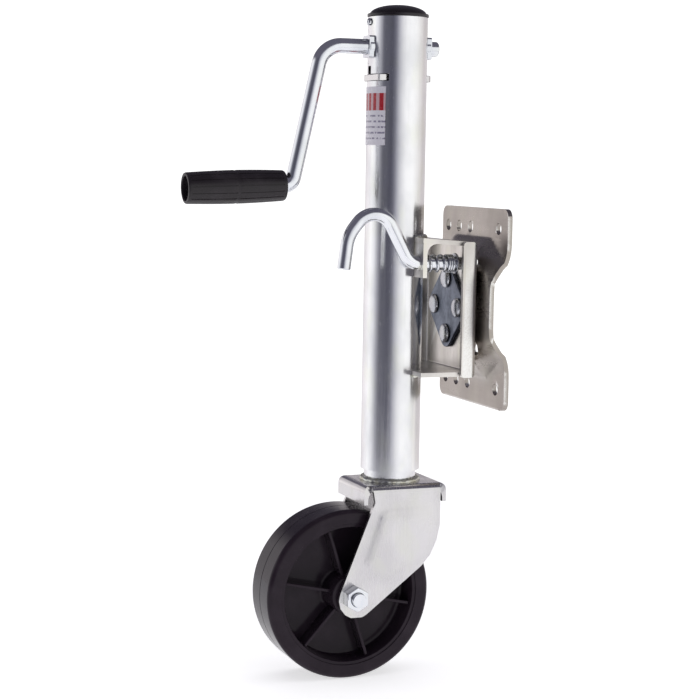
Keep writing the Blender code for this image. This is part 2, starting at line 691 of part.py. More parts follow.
def thrust_parts(jack):
    """The plate through the tube's slots that takes the screw's push, and the bearing under it."""
    outer, inner = -(TUBE_RADIUS - 1.4 * MM), TUBE_RADIUS + 2.6 * MM
    wide, narrow = PLATE_WIDE, PLATE_NARROW
    outline = [Vector((outer, wide - 1.5 * MM)), Vector((outer + 1.5 * MM, wide)), Vector((-3.0 * MM, wide))]
    outline += [Vector((3.0 * MM, narrow)), Vector((inner - 3.0 * MM, narrow))]
    outline += [Vector((inner, narrow - 4.0 * MM))]
    outline = outline + [Vector((p.x, -p.y)) for p in reversed(outline)]
    plate = flat("thrust_plate", outline, 2, PLATE_BOTTOM, PLATE_TOP)
    low, high = Vector((0, 0, PLATE_BOTTOM - 5 * MM)), Vector((0, 0, PLATE_TOP + 5 * MM))
    cut(plate, bar("cutter", low, high, JOURNAL_RADIUS + RUN, 24))
    finished(plate, "fork_zinc", jack)
    bore, rim = JOURNAL_RADIUS + RUN, SHOULDER_RADIUS + 3.0 * MM
    bearing = ring("thrust_bearing", bore, rim, BEARING_BOTTOM, BEARING_TOP)
    finished(bearing, "plain_steel", jack)


def label(jack):
    """Thin sticker wrapped round the tube's outer side."""
    half_turn = math.radians(46.0)
    low, high = 137.5 * MM, 186.5 * MM
    inner, outer = TUBE_RADIUS + GAP, TUBE_RADIUS + GAP + 0.25 * MM
    angles = [math.pi - half_turn + 2.0 * half_turn * k / 12 for k in range(13)]
    outline = [Vector((outer * math.cos(a), outer * math.sin(a))) for a in angles]
    outline += [Vector((inner * math.cos(a), inner * math.sin(a))) for a in reversed(angles)]
    finished(flat("label", outline, 2, low, high), "paper_label", jack)


def crank_path():
    grip_way = Vector((-math.cos(GRIP_TILT), 0.0, -math.sin(GRIP_TILT)))
    corners = [Vector((SHAFT_END, 0.0, CRANK_HEIGHT)), Vector((ARM_TOP_X, 0.0, CRANK_HEIGHT)), GRIP_CORNER]
    half = (corners[1] - GRIP_CORNER).angle(grip_way) / 2.0
    grip_start = GRIP_CORNER + grip_way * (GRIP_BEND / math.tan(half) + GAP)
    corners.append(grip_start + grip_way * (GRIP_LENGTH - GRIP_POCKET + 5.0 * MM))
    return corners, grip_way, grip_start


def crank_parts(crank, grip):
    """The bent crank rod, its pinion and pin, and the grip that spins on its end."""
    corners, way, start = crank_path()
    path = rounded(corners, [0.0, ARM_BEND, GRIP_BEND, 0.0], 8)
    rod = swept("crank_rod", path, ROD_RADIUS, 16, 1.6 * MM)
    pin_x = BUSH_INNER - 2.3 * MM
    pin_reach = PINION_HUB - GAP
    pin_low = Vector((pin_x, 0.0, CRANK_HEIGHT - pin_reach))
    pin_high = Vector((pin_x, 0.0, CRANK_HEIGHT + pin_reach))
    cut(rod, bar("cutter", pin_low - 5 * MM * Z_AXIS, pin_high + 5 * MM * Z_AXIS, PIN_RADIUS + GAP, 12))
    finished(rod, "bright_zinc", crank)
    centre = Vector((0.0, 0.0, CRANK_HEIGHT))
    pinion = bevel_gear("drive_pinion", PINION_TEETH, GEAR_TEETH, centre, X_AXIS, ROD_RADIUS + GAP,
                        PINION_HUB, BUSH_INNER - GAP, 0.5)
    cut(pinion, bar("cutter", pin_low - 5 * MM * Z_AXIS, pin_high + 5 * MM * Z_AXIS, PIN_RADIUS + GAP, 12))
    finished(pinion, "plain_steel", crank)
    finished(bar("pinion_pin", pin_low, pin_high, PIN_RADIUS, 12), "plain_steel", crank)
    bore = ROD_RADIUS + RUN
    end = GRIP_LENGTH
    profile = [(bore, 0.0), (GRIP_INNER_END - MM, 0.0), (GRIP_INNER_END, 1.2 * MM)]
    for k in range(1, 6):
        share = k / 6.0
        swell = math.sin(math.pi * share)
        plain = GRIP_INNER_END + (GRIP_OUTER_END - GRIP_INNER_END) * share
        profile.append((plain + (GRIP_MIDDLE - plain) * swell, end * share))
    profile += [(GRIP_OUTER_END, end - 1.2 * MM), (GRIP_OUTER_END - MM, end)]
    profile += [(POCKET_RADIUS, end), (POCKET_RADIUS, end - GRIP_POCKET), (bore, end - GRIP_POCKET)]
    finished(turned("crank_grip", profile, start, way, 24), "satin_black", grip)
    nut_low = end - GRIP_POCKET + GAP
    nut_high = nut_low + 1.5 * MM
    nut = ring("grip_push_nut", ROD_RADIUS + GAP, POCKET_RADIUS - MM, nut_low, nut_high, start, way, 24)
    finished(nut, "bright_zinc", crank)


def bevel_gear(name, teeth, mate_teeth, apex, back, bore, hub, hub_end, phase):
    """A straight bevel gear whose cone's apex is given, with its back along the back direction.

    hub_end is how far behind the apex the hub ends; phase is the share of a tooth pitch that the first
    tooth is turned by.
    """
    pitch = teeth * MODULE / 2.0
    mate = mate_teeth * MODULE / 2.0
    distance = math.hypot(pitch, mate)
    toe = (distance - GEAR_FACE) / distance
    cone_sin, cone_cos = pitch / distance, mate / distance
    addendum, dedendum = 0.75 * MODULE, 1.1 * MODULE
    tooth = math.tau / teeth
    half_root, half_tip = 0.25 * tooth, 0.10 * tooth
    shape = bmesh.new()

    def level(radius, depth, wavy=None):
        loop = []
        for k in range(teeth):
            middle = tooth * (k + phase)
            steps = ((-half_root, "root"), (-half_tip, "tip"), (half_tip, "tip"), (half_root, "root"))
            for turn, place in steps:
                reach, down = radius, depth
                if wavy:
                    offset = addendum if place == "tip" else -dedendum
                    reach = (pitch + offset * cone_cos) * wavy
                    down = (mate - offset * cone_sin) * wavy
                angle = middle + turn
                loop.append(shape.verts.new((reach * math.cos(angle), reach * math.sin(angle), down)))
        return loop

    heel_back = mate + dedendum * cone_sin
    root_out = pitch - dedendum * cone_cos
    toe_down = (mate + dedendum * cone_sin) * toe
    levels = [
        level(bore, toe_down),
        level(0.0, 0.0, toe),
        level(0.0, 0.0, 1.0),
        level(root_out - 0.6 * MM, heel_back + 1.0 * MM),
        level(hub, heel_back + 1.2 * MM),
        level(hub, hub_end),
        level(bore, hub_end),
    ]
    count = len(levels[0])
    for i, here in enumerate(levels):
        after = levels[(i + 1) % len(levels)]
        for k in range(count):
            shape.faces.new((here[k], here[(k + 1) % count], after[(k + 1) % count], after[k]))
    bmesh.ops.transform(shape, matrix=Matrix.Translation(apex) @ turn_onto(back), verts=shape.verts)
    return solid(name, shape)


def screw_parts(screw):
    """The lead screw with its shoulder and journal, the bevel gear on top and the pin through both."""
    thread_top = SHOULDER_BOTTOM - 4.0 * MM
    columns = 10
    rows = int((thread_top - SCREW_BOTTOM) / (LEAD / 3.0))
    shape = bmesh.new()
    rings = []
    for row in range(rows + 1):
        height = SCREW_BOTTOM + row * (thread_top - SCREW_BOTTOM) / rows
        fade = min(1.0, min(row, rows - row) / 4.0)
        loop = []
        for column in range(columns):
            share = column / columns
            wave = (height / LEAD - share) % 1.0
            crest = min(max(2.0 * (1.0 - abs(2.0 * wave - 1.0)) - 0.5, 0.0), 1.0)
            radius = SCREW_RADIUS - THREAD_DEPTH + THREAD_DEPTH * crest * fade
            angle = math.tau * share
            loop.append(shape.verts.new((radius * math.cos(angle), radius * math.sin(angle), height)))
        rings.append(loop)
    top = CRANK_HEIGHT - ROD_RADIUS - 1.6 * MM
    for radius, height in (
        (SHOULDER_RADIUS, SHOULDER_BOTTOM),
        (SHOULDER_RADIUS, SHOULDER_TOP),
        (JOURNAL_RADIUS, SHOULDER_TOP),
        (JOURNAL_RADIUS, top),
    ):
        loop = []
        for column in range(columns):
            angle = math.tau * column / columns
            loop.append(shape.verts.new((radius * math.cos(angle), radius * math.sin(angle), height)))
        rings.append(loop)
    for here, after in zip(rings, rings[1:]):
        for column in range(columns):
            beside = (column + 1) % columns
            shape.faces.new((here[column], here[beside], after[beside], after[column]))
    shape.faces.new(rings[0])
    shape.faces.new(rings[-1])
    lead_screw = solid("lead_screw", shape)
    pin_height = PLATE_TOP + 2.6 * MM
    gear = bevel_gear("screw_gear", GEAR_TEETH, PINION_TEETH, Vector((0, 0, CRANK_HEIGHT)), -Z_AXIS,
                      JOURNAL_RADIUS + GAP, 10.5 * MM, CRANK_HEIGHT - PLATE_TOP - GAP, 0.0)
    ends = [Vector((0.0, side * 10.2 * MM, pin_height)) for side in (-1.0, 1.0)]
    for piece in (lead_screw, gear):
        cut(piece, bar("cutter", ends[0] - 5 * MM * Y_AXIS, ends[1] + 5 * MM * Y_AXIS, PIN_RADIUS + GAP, 12))
    finished(lead_screw, "plain_steel", screw)
    finished(gear, "plain_steel", screw)
    finished(bar("gear_pin", ends[0], ends[1], PIN_RADIUS, 12), "plain_steel", screw)


def lift_parts(lift, caster):
    """The nut in the ram's mouth, and the ram."""
    flange = 3.0 * MM
    fit = RAM_BORE - GAP
    bore = SCREW_RADIUS + RUN
    body_top = RAM_TOP + GAP
    profile = [(bore, RAM_TOP - NUT_TALL), (fit, RAM_TOP - NUT_TALL), (fit, body_top)]
    profile += [(RAM_RADIUS, body_top), (RAM_RADIUS, body_top + flange), (bore, body_top + flange)]
    finished(turned("lift_nut", profile, steps=24), "bronze", lift)
    ram = ring("ram_tube", RAM_BORE, RAM_RADIUS, FORK_TOP + GAP, RAM_TOP, steps=40)
    finished(ram, "tube_zinc", caster)


def fork_edges():
    """The left and right edges of a fork leg, as (x, z) points from its top down round the axle's lobe."""
    middle = Vector((AXLE_X + LOBE_SHIFT, AXLE.z - LOBE_SHIFT))
    left = [Vector((-28.6 * MM, FORK_TOP)), Vector((-26.1 * MM, FORK_TOP - 14.0 * MM))]
    right = [Vector((34.0 * MM, FORK_TOP)), Vector((34.0 * MM, FORK_TOP - 36.0 * MM))]
    right += [Vector((31.2 * MM, FORK_TOP - 49.2 * MM)), Vector((25.4 * MM, FORK_TOP - 61.6 * MM))]
    right += [Vector((17.5 * MM, FORK_TOP - 70.6 * MM))]
    for edge, angles in ((left, (158, 180, 205, 230, 252)), (right, (306, 294, 282))):
        for angle in map(math.radians, angles):
            edge.append(middle + LOBE * Vector((math.cos(angle), math.sin(angle))))
    return left, right


def edge_at(edge, height):
    """Where an edge, given from its top down, stands at a height."""
    for above, below in zip(edge, edge[1:]):
        if above.y >= height >= below.y:
            share = (above.y - height) / (above.y - below.y)
            return above.x + (below.x - above.x) * share
    return edge[0].x if height > edge[0].y else edge[-1].x


def caster_parts(caster, wheel_body):
    """The fork, bent from one sheet, with its axle bolt, nut and sleeve, and the wheel."""
    left, right = fork_edges()
    bottom = min(left[-1].y, right[-1].y)
    heights = sorted({round(p.y, 6) for p in left + right if p.y > bottom}, reverse=True)

    def leg_reach(point):
        height = min(point.y, FORK_TOP)
        return edge_at(left, height), edge_at(right, height)

    side = [Vector((-FORK_HALF_Y, h)) for h in reversed(heights) if h < FORK_TOP - 6.0 * MM]
    line = side + [Vector((-FORK_HALF_Y, FORK_TOP)), Vector((FORK_HALF_Y, FORK_TOP))]
    line += [Vector((-p.x, p.y)) for p in reversed(side)]
    radii = [5.5 * MM if abs(p.y - FORK_TOP) < 1e-6 else 0.0 for p in line]
    outer = rounded(line, radii, 4)
    inner_radii = [max(r - FORK_SHEET, 0.3 * MM) if r else 0.0 for r in radii]
    inner = rounded(inset_corners(line, FORK_SHEET), inner_radii, 4)
    shape = bmesh.new()
    rows = []
    for over, under in zip(outer, inner):
        low, high = leg_reach(over)
        quad = ((low, over), (high, over), (high, under), (low, under))
        rows.append([shape.verts.new((x, p.x, p.y)) for x, p in quad])
    for here, after in zip(rows, rows[1:]):
        for k in range(4):
            shape.faces.new((here[k], here[(k + 1) % 4], after[(k + 1) % 4], after[k]))
    shape.faces.new(rows[0])
    shape.faces.new(rows[-1])
    fork = solid("caster_fork", shape)
    flap_low = FORK_TOP - FLAP_DROP
    flaps = [Vector((FORK_RIGHT, flap_low)), Vector((FORK_RIGHT, FORK_TOP))]
    flaps += [Vector((FORK_LEFT, FORK_TOP)), Vector((FORK_LEFT, flap_low))]
    bend = 5.5 * MM

    def flap_reach(point):
        edge = max(point.x - FORK_RIGHT, FORK_LEFT - point.x) + bend
        half = FORK_HALF_Y - bend + (FLAP_HALF_Y - FORK_HALF_Y + bend) * min(max(edge / bend, 0.0), 1.0)
        return -half, half

    join(fork, bent_sheet("flaps", flaps, -FORK_SHEET, bend, 1, flap_reach))
    for turn in (-1.0, 1.0):
        join(fork, fork_pocket(turn))
    far = 60.0 * MM * Y_AXIS
    cut(fork, bar("cutter", AXLE - far, AXLE + far, AXLE_RADIUS + GAP, 24))
    finished(fork, "fork_zinc", caster)

    face = FORK_HALF_Y + GAP
    nut_far = face + 9.8 * MM
    bolt = bar("axle_bolt", AXLE - 47.0 * MM * Y_AXIS, AXLE + (face + 2.0 * MM) * Y_AXIS, AXLE_RADIUS, 24)
    join(bolt, hexagon("head", 18.6 * MM, AXLE + face * Y_AXIS, AXLE + (face + 7.4 * MM) * Y_AXIS))
    finished(bolt, "bright_zinc", caster)
    nut = hexagon("axle_nut", 18.6 * MM, AXLE - face * Y_AXIS, AXLE - nut_far * Y_AXIS)
    cut(nut, bar("cutter", AXLE - far, AXLE + far, AXLE_RADIUS + GAP, 24))
    finished(nut, "bright_zinc", caster)
    half_gap = FORK_HALF_Y - FORK_SHEET - GAP
    bore, rim = AXLE_RADIUS + GAP, AXLE_RADIUS + 2.6 * MM
    sleeve = ring("axle_sleeve", bore, rim, -half_gap, half_gap, AXLE, Y_AXIS, 24)
    finished(sleeve, "plain_steel", caster)
    wheel(wheel_body)


def fork_pocket(side):
    """The raised field pressed into a fork leg: a tapered pad on its outer face."""
    places = ((-21.0, -20.0), (25.0, -20.0), (27.0, -42.0), (14.0, -66.0), (-19.0, -85.0), (-37.0, -70.0))
    base = [Vector((x * MM, FORK_TOP + z * MM)) for x, z in places]
    outline = rounded(base, [r * MM for r in (8.0, 8.0, 20.0, 18.0, 11.0, 9.0)], 4, closed=True)
    centre = sum(outline, Vector((0.0, 0.0))) / len(outline)
    shape = bmesh.new()
    rings = []
    for depth, shrink in ((-1.0, 1.0), (0.2, 1.0), (1.5, 0.90), (2.4, 0.78)):
        y = side * (FORK_HALF_Y + depth * MM)
        around = [centre + (p - centre) * shrink for p in outline]
        rings.append([shape.verts.new((p.x, y, p.y)) for p in around])
    count = len(outline)
    for here, after in zip(rings, rings[1:]):
        for k in range(count):
            shape.faces.new((here[k], here[(k + 1) % count], after[(k + 1) % count], after[k]))
    shape.faces.new(rings[0])
    shape.faces.new(rings[-1])
    return solid("pocket", shape)


def wheel(wheel_body):
    """Moulded wheel: tread with round shoulders, side rims, a web, a hub and ribs on both sides."""
    half = WHEEL_WIDTH / 2.0
    shoulder = WHEEL_SHOULDER
    rim_in = WHEEL_RADIUS - 15.0 * MM
    web = 3.5 * MM
    hub_half = half + 3.2 * MM
    bore = AXLE_RADIUS + 2.6 * MM + RUN
    side = [(bore, hub_half), (HUB_RADIUS - 1.5 * MM, hub_half)]
    side += [(HUB_RADIUS, half - 3.0 * MM), (HUB_RADIUS + MM, web)]
    side += [(rim_in - 2.0 * MM, web), (rim_in, half)]
    for k in range(4):
        angle = math.radians(90.0 - 30.0 * k)
        radius = WHEEL_RADIUS - shoulder + shoulder * math.cos(angle)
        side.append((radius, half - shoulder + shoulder * math.sin(angle)))
    profile = side + [(r, -h) for r, h in reversed(side)]
    tyre = turned("wheel", profile, AXLE, Y_AXIS, 48)
    rib_half = 2.1 * MM
    for k in range(RIBS):
        angle = math.tau * k / RIBS + math.radians(48.0)
        low, high = HUB_RADIUS - 2.0 * MM, rim_in + 1.0 * MM
        rib = block("rib", (low, -(half - 4.0 * MM), -rib_half), (high, half - 4.0 * MM, rib_half))
        rib.data.transform(Matrix.Translation(AXLE) @ Matrix.Rotation(-angle, 4, "Y"))
        join(tyre, rib)
    finished(tyre, "gloss_black", wheel_body)


def plunger_parts(plunger):
    """The hooked plunger rod, its spring, washer and cross pin."""
    corners = [Vector((x * MM, PLUNGER_Y, z * MM)) for x, z in ((-58.5, 36.3), (-55.4, 61.7), (-29.0, 90.8))]
    corners += [Vector((0.4 * MM, PLUNGER_Y, PLUNGER_Z)), Vector((PLUNGER_TIP, PLUNGER_Y, PLUNGER_Z))]
    path = rounded(corners, [0.0, 30.0 * MM, 12.0 * MM, 14.0 * MM, 0.0], 7)
    rod = swept("plunger_rod", path, PLUNGER_RADIUS, 16, 1.2 * MM)
    pin_x = WASHER_X + WASHER_THICK + PIN_RADIUS + GAP
    middle = Vector((pin_x, PLUNGER_Y, PLUNGER_Z))
    reach = PLUNGER_RADIUS + 2.4 * MM
    cut(rod, bar("cutter", middle - 12 * MM * Y_AXIS, middle + 12 * MM * Y_AXIS, PIN_RADIUS + GAP, 12))
    finished(rod, "bright_zinc", plunger)
    pin = bar("plunger_cross_pin", middle - reach * Y_AXIS, middle + reach * Y_AXIS, PIN_RADIUS, 12)
    finished(pin, "bright_zinc", plunger)
    pin_axis = Vector((0.0, PLUNGER_Y, PLUNGER_Z))
    bore, far = PLUNGER_RADIUS + RUN, WASHER_X + WASHER_THICK
    washer = ring("plunger_washer", bore, PLUNGER_RADIUS + 3.2 * MM, WASHER_X, far, pin_axis, X_AXIS, 20)
    finished(washer, "bright_zinc", plunger)
    low = FLANGE_END_X + SHEET + GAP + SPRING_WIRE
    high = WASHER_X - GAP - SPRING_WIRE
    coil = PLUNGER_RADIUS + RUN + SPRING_WIRE
    steps = 12
    points = []
    close_pitch = 2.15 * SPRING_WIRE
    open_pitch = (high - low - SPRING_CLOSE_COILS * close_pitch) / SPRING_OPEN_COILS
    for k in range((SPRING_OPEN_COILS + SPRING_CLOSE_COILS) * steps + 1):
        turn = k / steps
        along = low + min(turn, SPRING_OPEN_COILS) * open_pitch
        along += max(turn - SPRING_OPEN_COILS, 0.0) * close_pitch
        y = PLUNGER_Y + coil * math.cos(math.tau * turn)
        points.append(Vector((along, y, PLUNGER_Z + coil * math.sin(math.tau * turn))))
    finished(swept("plunger_spring", points, SPRING_WIRE, 6), "bright_zinc", plunger)


def build():
    clear_scene()
    jack = body_empty("jack_pivot", Vector())
    crank = body_empty("crank_axis", Vector((0.0, 0.0, CRANK_HEIGHT)))
    grip = body_empty("grip_axis", crank_path()[2])
    screw = body_empty("screw_axis", Vector((0.0, 0.0, SHOULDER_TOP)))
    lift = body_empty("lift_axis", Vector((0.0, 0.0, RAM_TOP)))
    caster = body_empty("caster_axis", Vector((0.0, 0.0, FORK_TOP)))
    axle = body_empty("wheel_axis", AXLE)
    plunger = body_empty("plunger_axis", Vector((0.0, PLUNGER_Y, PLUNGER_Z)))
    mount_plate()
    pivot_parts()
    swivel_bracket(jack)
    outer_tube(jack)
    cap_parts(jack)
    shaft_bushes(jack)
    thrust_parts(jack)
    label(jack)
    crank_parts(crank, grip)
    screw_parts(screw)
    lift_parts(lift, caster)
    caster_parts(caster, axle)
    plunger_parts(plunger)


build()
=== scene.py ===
"""A swing-up trailer tongue jack, with its side crank, plunger lock and caster wheel, set in a plain studio.

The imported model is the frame. Each sub-assembly is a class: its fields are sizes in millimetres, and its
methods build the pieces, dress them in a finish and hang them on their body. The tube's axis stands TUBE_X
from the beam.
"""

import json
import logging
import math
from dataclasses import dataclass
from enum import Enum
from typing import Any, Callable, Optional, Sequence

import bmesh
import bpy
from mathutils import Matrix, Vector

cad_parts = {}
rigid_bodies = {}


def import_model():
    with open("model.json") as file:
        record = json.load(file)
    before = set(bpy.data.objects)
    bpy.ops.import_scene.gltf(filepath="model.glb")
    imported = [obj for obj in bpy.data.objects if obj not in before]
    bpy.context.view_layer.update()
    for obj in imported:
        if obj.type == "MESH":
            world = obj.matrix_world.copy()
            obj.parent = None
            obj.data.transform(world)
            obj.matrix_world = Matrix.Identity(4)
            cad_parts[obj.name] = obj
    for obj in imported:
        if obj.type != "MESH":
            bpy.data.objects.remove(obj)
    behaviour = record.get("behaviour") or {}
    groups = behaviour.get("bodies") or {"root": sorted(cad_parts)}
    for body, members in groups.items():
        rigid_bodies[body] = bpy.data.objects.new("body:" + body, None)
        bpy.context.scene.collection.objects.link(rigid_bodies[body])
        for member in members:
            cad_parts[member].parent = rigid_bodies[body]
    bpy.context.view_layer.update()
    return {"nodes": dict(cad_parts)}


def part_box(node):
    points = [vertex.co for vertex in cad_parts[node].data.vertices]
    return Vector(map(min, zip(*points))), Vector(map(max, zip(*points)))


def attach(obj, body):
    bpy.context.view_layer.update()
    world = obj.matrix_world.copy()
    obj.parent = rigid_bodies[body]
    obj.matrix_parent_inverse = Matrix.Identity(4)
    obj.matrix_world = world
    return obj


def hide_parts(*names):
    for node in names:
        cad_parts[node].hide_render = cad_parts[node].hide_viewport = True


for leftover in list(bpy.data.objects):
    bpy.data.objects.remove(leftover, do_unlink=True)
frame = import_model()

LOG = logging.getLogger("tongue_jack")
MM = 0.001
WELD_DISTANCE = 0.002 * MM
FLAT_DEG = 0.8
SHARP_DEG = 50.0
TUBE_X = -79.6
Point = tuple[float, float, float]
Profile = Sequence[tuple[float, float]]


def at(x: float, y: float, z: float) -> Vector:
    """A place given in millimetres from the tube's axis at the swing pivot's height."""
    return Vector((x + TUBE_X, y, z)) * MM


def linear(code: str) -> tuple[float, float, float, float]:
    """Turn an sRGB hex colour into a linear one.

    Args:
        code: six hex digits after a #.

    Returns:
        Red, green, blue and an alpha of one.
    """
    parts = [int(code[i : i + 2], 16) / 255.0 for i in (1, 3, 5)]
    red, green, blue = (p / 12.92 if p <= 0.04045 else ((p + 0.055) / 1.055) ** 2.4 for p in parts)
    return red, green, blue, 1.0


def add_node(
    tree: bpy.types.NodeTree,
    kind: str,
    inputs: Optional[dict[Any, Any]] = None,
    stops: Sequence[tuple[float, str]] = (),
    **settings: Any,
) -> bpy.types.Node:
    """Add a node with its settings, its constants and its links.

    Args:
        tree: node tree that gets the node.
        kind: Blender's name of the node's type.
        inputs: socket name or number to a constant, or to an output socket that is linked to it.
        stops: position and hex colour of each stop, for a node with a colour ramp.
        settings: properties of the node itself.

    Returns:
        The new node.
    """
    node = tree.nodes.new(kind)
    for key, value in settings.items():
        setattr(node, key, value)
    for key, value in (inputs or {}).items():
        if isinstance(value, bpy.types.NodeSocket):
            tree.links.new(value, node.inputs[key])
        else:
            node.inputs[key].default_value = value
    for number, (place, code) in enumerate(stops):
        elements = node.color_ramp.elements
        element = elements[number] if number < 2 else elements.new(place)
        element.position = place
        element.color = linear(code)
    return node


def mixed(tree: bpy.types.NodeTree, share: Any, first: Any, second: Any) -> bpy.types.NodeSocket:
    """The colour between two colours or sockets; share is how much of the second."""
    inputs = {0: share, 6: first, 7: second}
    return add_node(tree, "ShaderNodeMix", inputs, data_type="RGBA").outputs[2]


def ranged(tree: bpy.types.NodeTree, value: Any, low: float, high: float, start: float, end: float) -> Any:
    """A value that goes smoothly from start to end while the input goes from low to high."""
    inputs = {"Value": value, "From Min": low, "From Max": high, "To Min": start, "To Max": end}
    return add_node(tree, "ShaderNodeMapRange", inputs, interpolation_type="SMOOTHSTEP").outputs[0]


def worked(tree: bpy.types.NodeTree, operation: str, first: Any, second: Any = 0.0) -> Any:
    """The result of one arithmetic operation on two values or sockets."""
    return add_node(tree, "ShaderNodeMath", {0: first, 1: second}, operation=operation).outputs[0]


def surface_noise(
    tree: bpy.types.NodeTree, size_mm: Point, detail: float = 3.0, turn: Point = (0.0, 0.0, 0.0)
) -> bpy.types.NodeSocket:
    """Noise whose grains have a real size.

    Args:
        tree: material's node tree.
        size_mm: length of a grain along X, Y and Z, in millimetres.
        detail: number of finer layers.
        turn: rotation of the grains, in radians.

    Returns:
        The socket of the noise, from 0 to 1.
    """
    coords = add_node(tree, "ShaderNodeTexCoord").outputs["Object"]
    scale = tuple(1000.0 / size for size in size_mm)
    inputs = {"Vector": coords, "Rotation": turn, "Scale": scale}
    placed = add_node(tree, "ShaderNodeMapping", inputs).outputs[0]
    return add_node(tree, "ShaderNodeTexNoise", {"Vector": placed, "Scale": 1.0, "Detail": detail}).outputs[0]


@dataclass(frozen=True)
class SurfaceFinish:
    """What every finish has: a name, the record's material slot, a main colour and a roughness range."""

    name: str
    slot: str
    colour: str
    roughness: tuple[float, float]

    def material(self) -> bpy.types.Material:
        """The finish as a material, made the first time that it is asked for.

        Returns:
            The material, shared by every piece that has this finish.
        """
        found = bpy.data.materials.get(self.name)
        if found:
            return found
        made = bpy.data.materials.new(self.name)
        made.use_nodes = True
        self.fill(made.node_tree, made.node_tree.nodes["Principled BSDF"])
        return made

    def fill(self, tree: bpy.types.NodeTree, shader: bpy.types.Node) -> None:
        """Give the shader its plain colour; each kind of finish adds to this.

        Args:
            tree: material's node tree.
            shader: its Principled shader.
        """
        shader.inputs["Base Color"].default_value = linear(self.colour)

    def bump(self, tree: bpy.types.NodeTree, shader: bpy.types.Node, height: Any, depth_mm: float) -> None:
        """Raise and sink the surface by a height socket.

        Args:
            tree: material's node tree.
            shader: its Principled shader.
            height: socket from 0 to 1.
            depth_mm: distance between the lowest and highest point.
        """
        inputs = {"Strength": 1.0, "Distance": depth_mm * MM, "Height": height}
        tree.links.new(add_node(tree, "ShaderNodeBump", inputs).outputs[0], shader.inputs["Normal"])


@dataclass(frozen=True)
class PlatedSteel(SurfaceFinish):
    """Bare or plated metal: satin, streaked along its lay and bright where it is rubbed."""

    shade: str = "#8f9192"
    tint: str = "#c6cbb8"
    worn: str = "#f4f4f2"
    lay_mm: Point = (0.5, 0.5, 90.0)
    cloud_mm: float = 26.0
    grit_mm: float = 0.9
    depth_mm: float = 0.012
    lay_share: float = 0.16

    def fill(self, tree: bpy.types.NodeTree, shader: bpy.types.Node) -> None:
        """Streaks, clouds, a faint passivation tint, grit, hairline scratches and bright rubbed edges.

        Args:
            tree: material's node tree.
            shader: its Principled shader.
        """
        low, high = self.roughness
        lay = surface_noise(tree, self.lay_mm, 4.0)
        cloud = surface_noise(tree, (self.cloud_mm, self.cloud_mm, self.cloud_mm * 1.8), 3.0)
        blot = (self.cloud_mm * 0.6, self.cloud_mm * 0.5, self.cloud_mm)
        stain = surface_noise(tree, blot, 2.0, (0.4, 0.2, 1.1))
        grit = surface_noise(tree, (self.grit_mm,) * 3, 3.0)
        hairline = surface_noise(tree, (0.25, 18.0, 6.0), 1.0, (0.5, 0.3, 0.8))
        scratch = ranged(tree, hairline, 0.70, 0.76, 0.0, 1.0)
        edge = add_node(tree, "ShaderNodeNewGeometry").outputs["Pointiness"]
        rubbed = ranged(tree, edge, 0.54, 0.64, 0.0, 0.8)
        worn = worked(tree, "MULTIPLY", rubbed, ranged(tree, grit, 0.3, 0.6, 0.5, 1.0))
        colour = mixed(tree, ranged(tree, cloud, 0.35, 0.68, 0.0, 0.55), linear(self.colour), linear(self.shade))
        colour = mixed(tree, ranged(tree, stain, 0.45, 0.75, 0.0, 0.45), colour, linear(self.tint))
        colour = mixed(tree, ranged(tree, lay, 0.4, 0.75, 0.0, self.lay_share), colour, linear(self.shade))
        colour = mixed(tree, worn, colour, linear(self.worn))
        tree.links.new(colour, shader.inputs["Base Color"])
        shader.inputs["Metallic"].default_value = 1.0
        rough = ranged(tree, worked(tree, "ADD", lay, cloud), 0.7, 1.3, low, high)
        rough = worked(tree, "ADD", rough, worked(tree, "MULTIPLY", scratch, 0.08))
        tree.links.new(rough, shader.inputs["Roughness"])
        height = worked(tree, "ADD", worked(tree, "MULTIPLY", grit, 0.7), worked(tree, "MULTIPLY", lay, 0.5))
        height = worked(tree, "SUBTRACT", height, worked(tree, "MULTIPLY", scratch, 0.6))
        self.bump(tree, shader, height, self.depth_mm)


@dataclass(frozen=True)
class MouldedPlastic(SurfaceFinish):
    """Black plastic from a mould: fine grain, faint flow marks and paler scuffs on the high spots."""

    scuff: str = "#4a464b"
    grain_mm: float = 0.7
    depth_mm: float = 0.02
    scuffed: float = 0.35
    shine: float = 0.4

    def fill(self, tree: bpy.types.NodeTree, shader: bpy.types.Node) -> None:
        """Grain, flow marks and scuffed edges.

        Args:
            tree: material's node tree.
            shader: its Principled shader.
        """
        low, high = self.roughness
        grain = surface_noise(tree, (self.grain_mm,) * 3, 2.0)
        flow = surface_noise(tree, (22.0, 22.0, 22.0), 3.0)
        rub = surface_noise(tree, (1.2, 5.0, 1.6), 4.0, (0.6, 0.1, 0.9))
        edge = add_node(tree, "ShaderNodeNewGeometry").outputs["Pointiness"]
        high_spot = ranged(tree, edge, 0.52, 0.62, 0.0, self.scuffed)
        scuffs = worked(tree, "MAXIMUM", high_spot, ranged(tree, rub, 0.62, 0.78, 0.0, self.scuffed))
        colour = mixed(tree, ranged(tree, flow, 0.4, 0.7, 0.0, 0.2), linear(self.colour), linear(self.scuff))
        tree.links.new(mixed(tree, scuffs, colour, linear(self.scuff)), shader.inputs["Base Color"])
        shader.inputs["IOR"].default_value = 1.5
        shader.inputs["Specular IOR Level"].default_value = self.shine
        dulled = worked(tree, "MULTIPLY", scuffs, 0.25)
        rough = worked(tree, "ADD", ranged(tree, flow, 0.3, 0.7, low, high), dulled)
        tree.links.new(rough, shader.inputs["Roughness"])
        self.bump(tree, shader, grain, self.depth_mm)


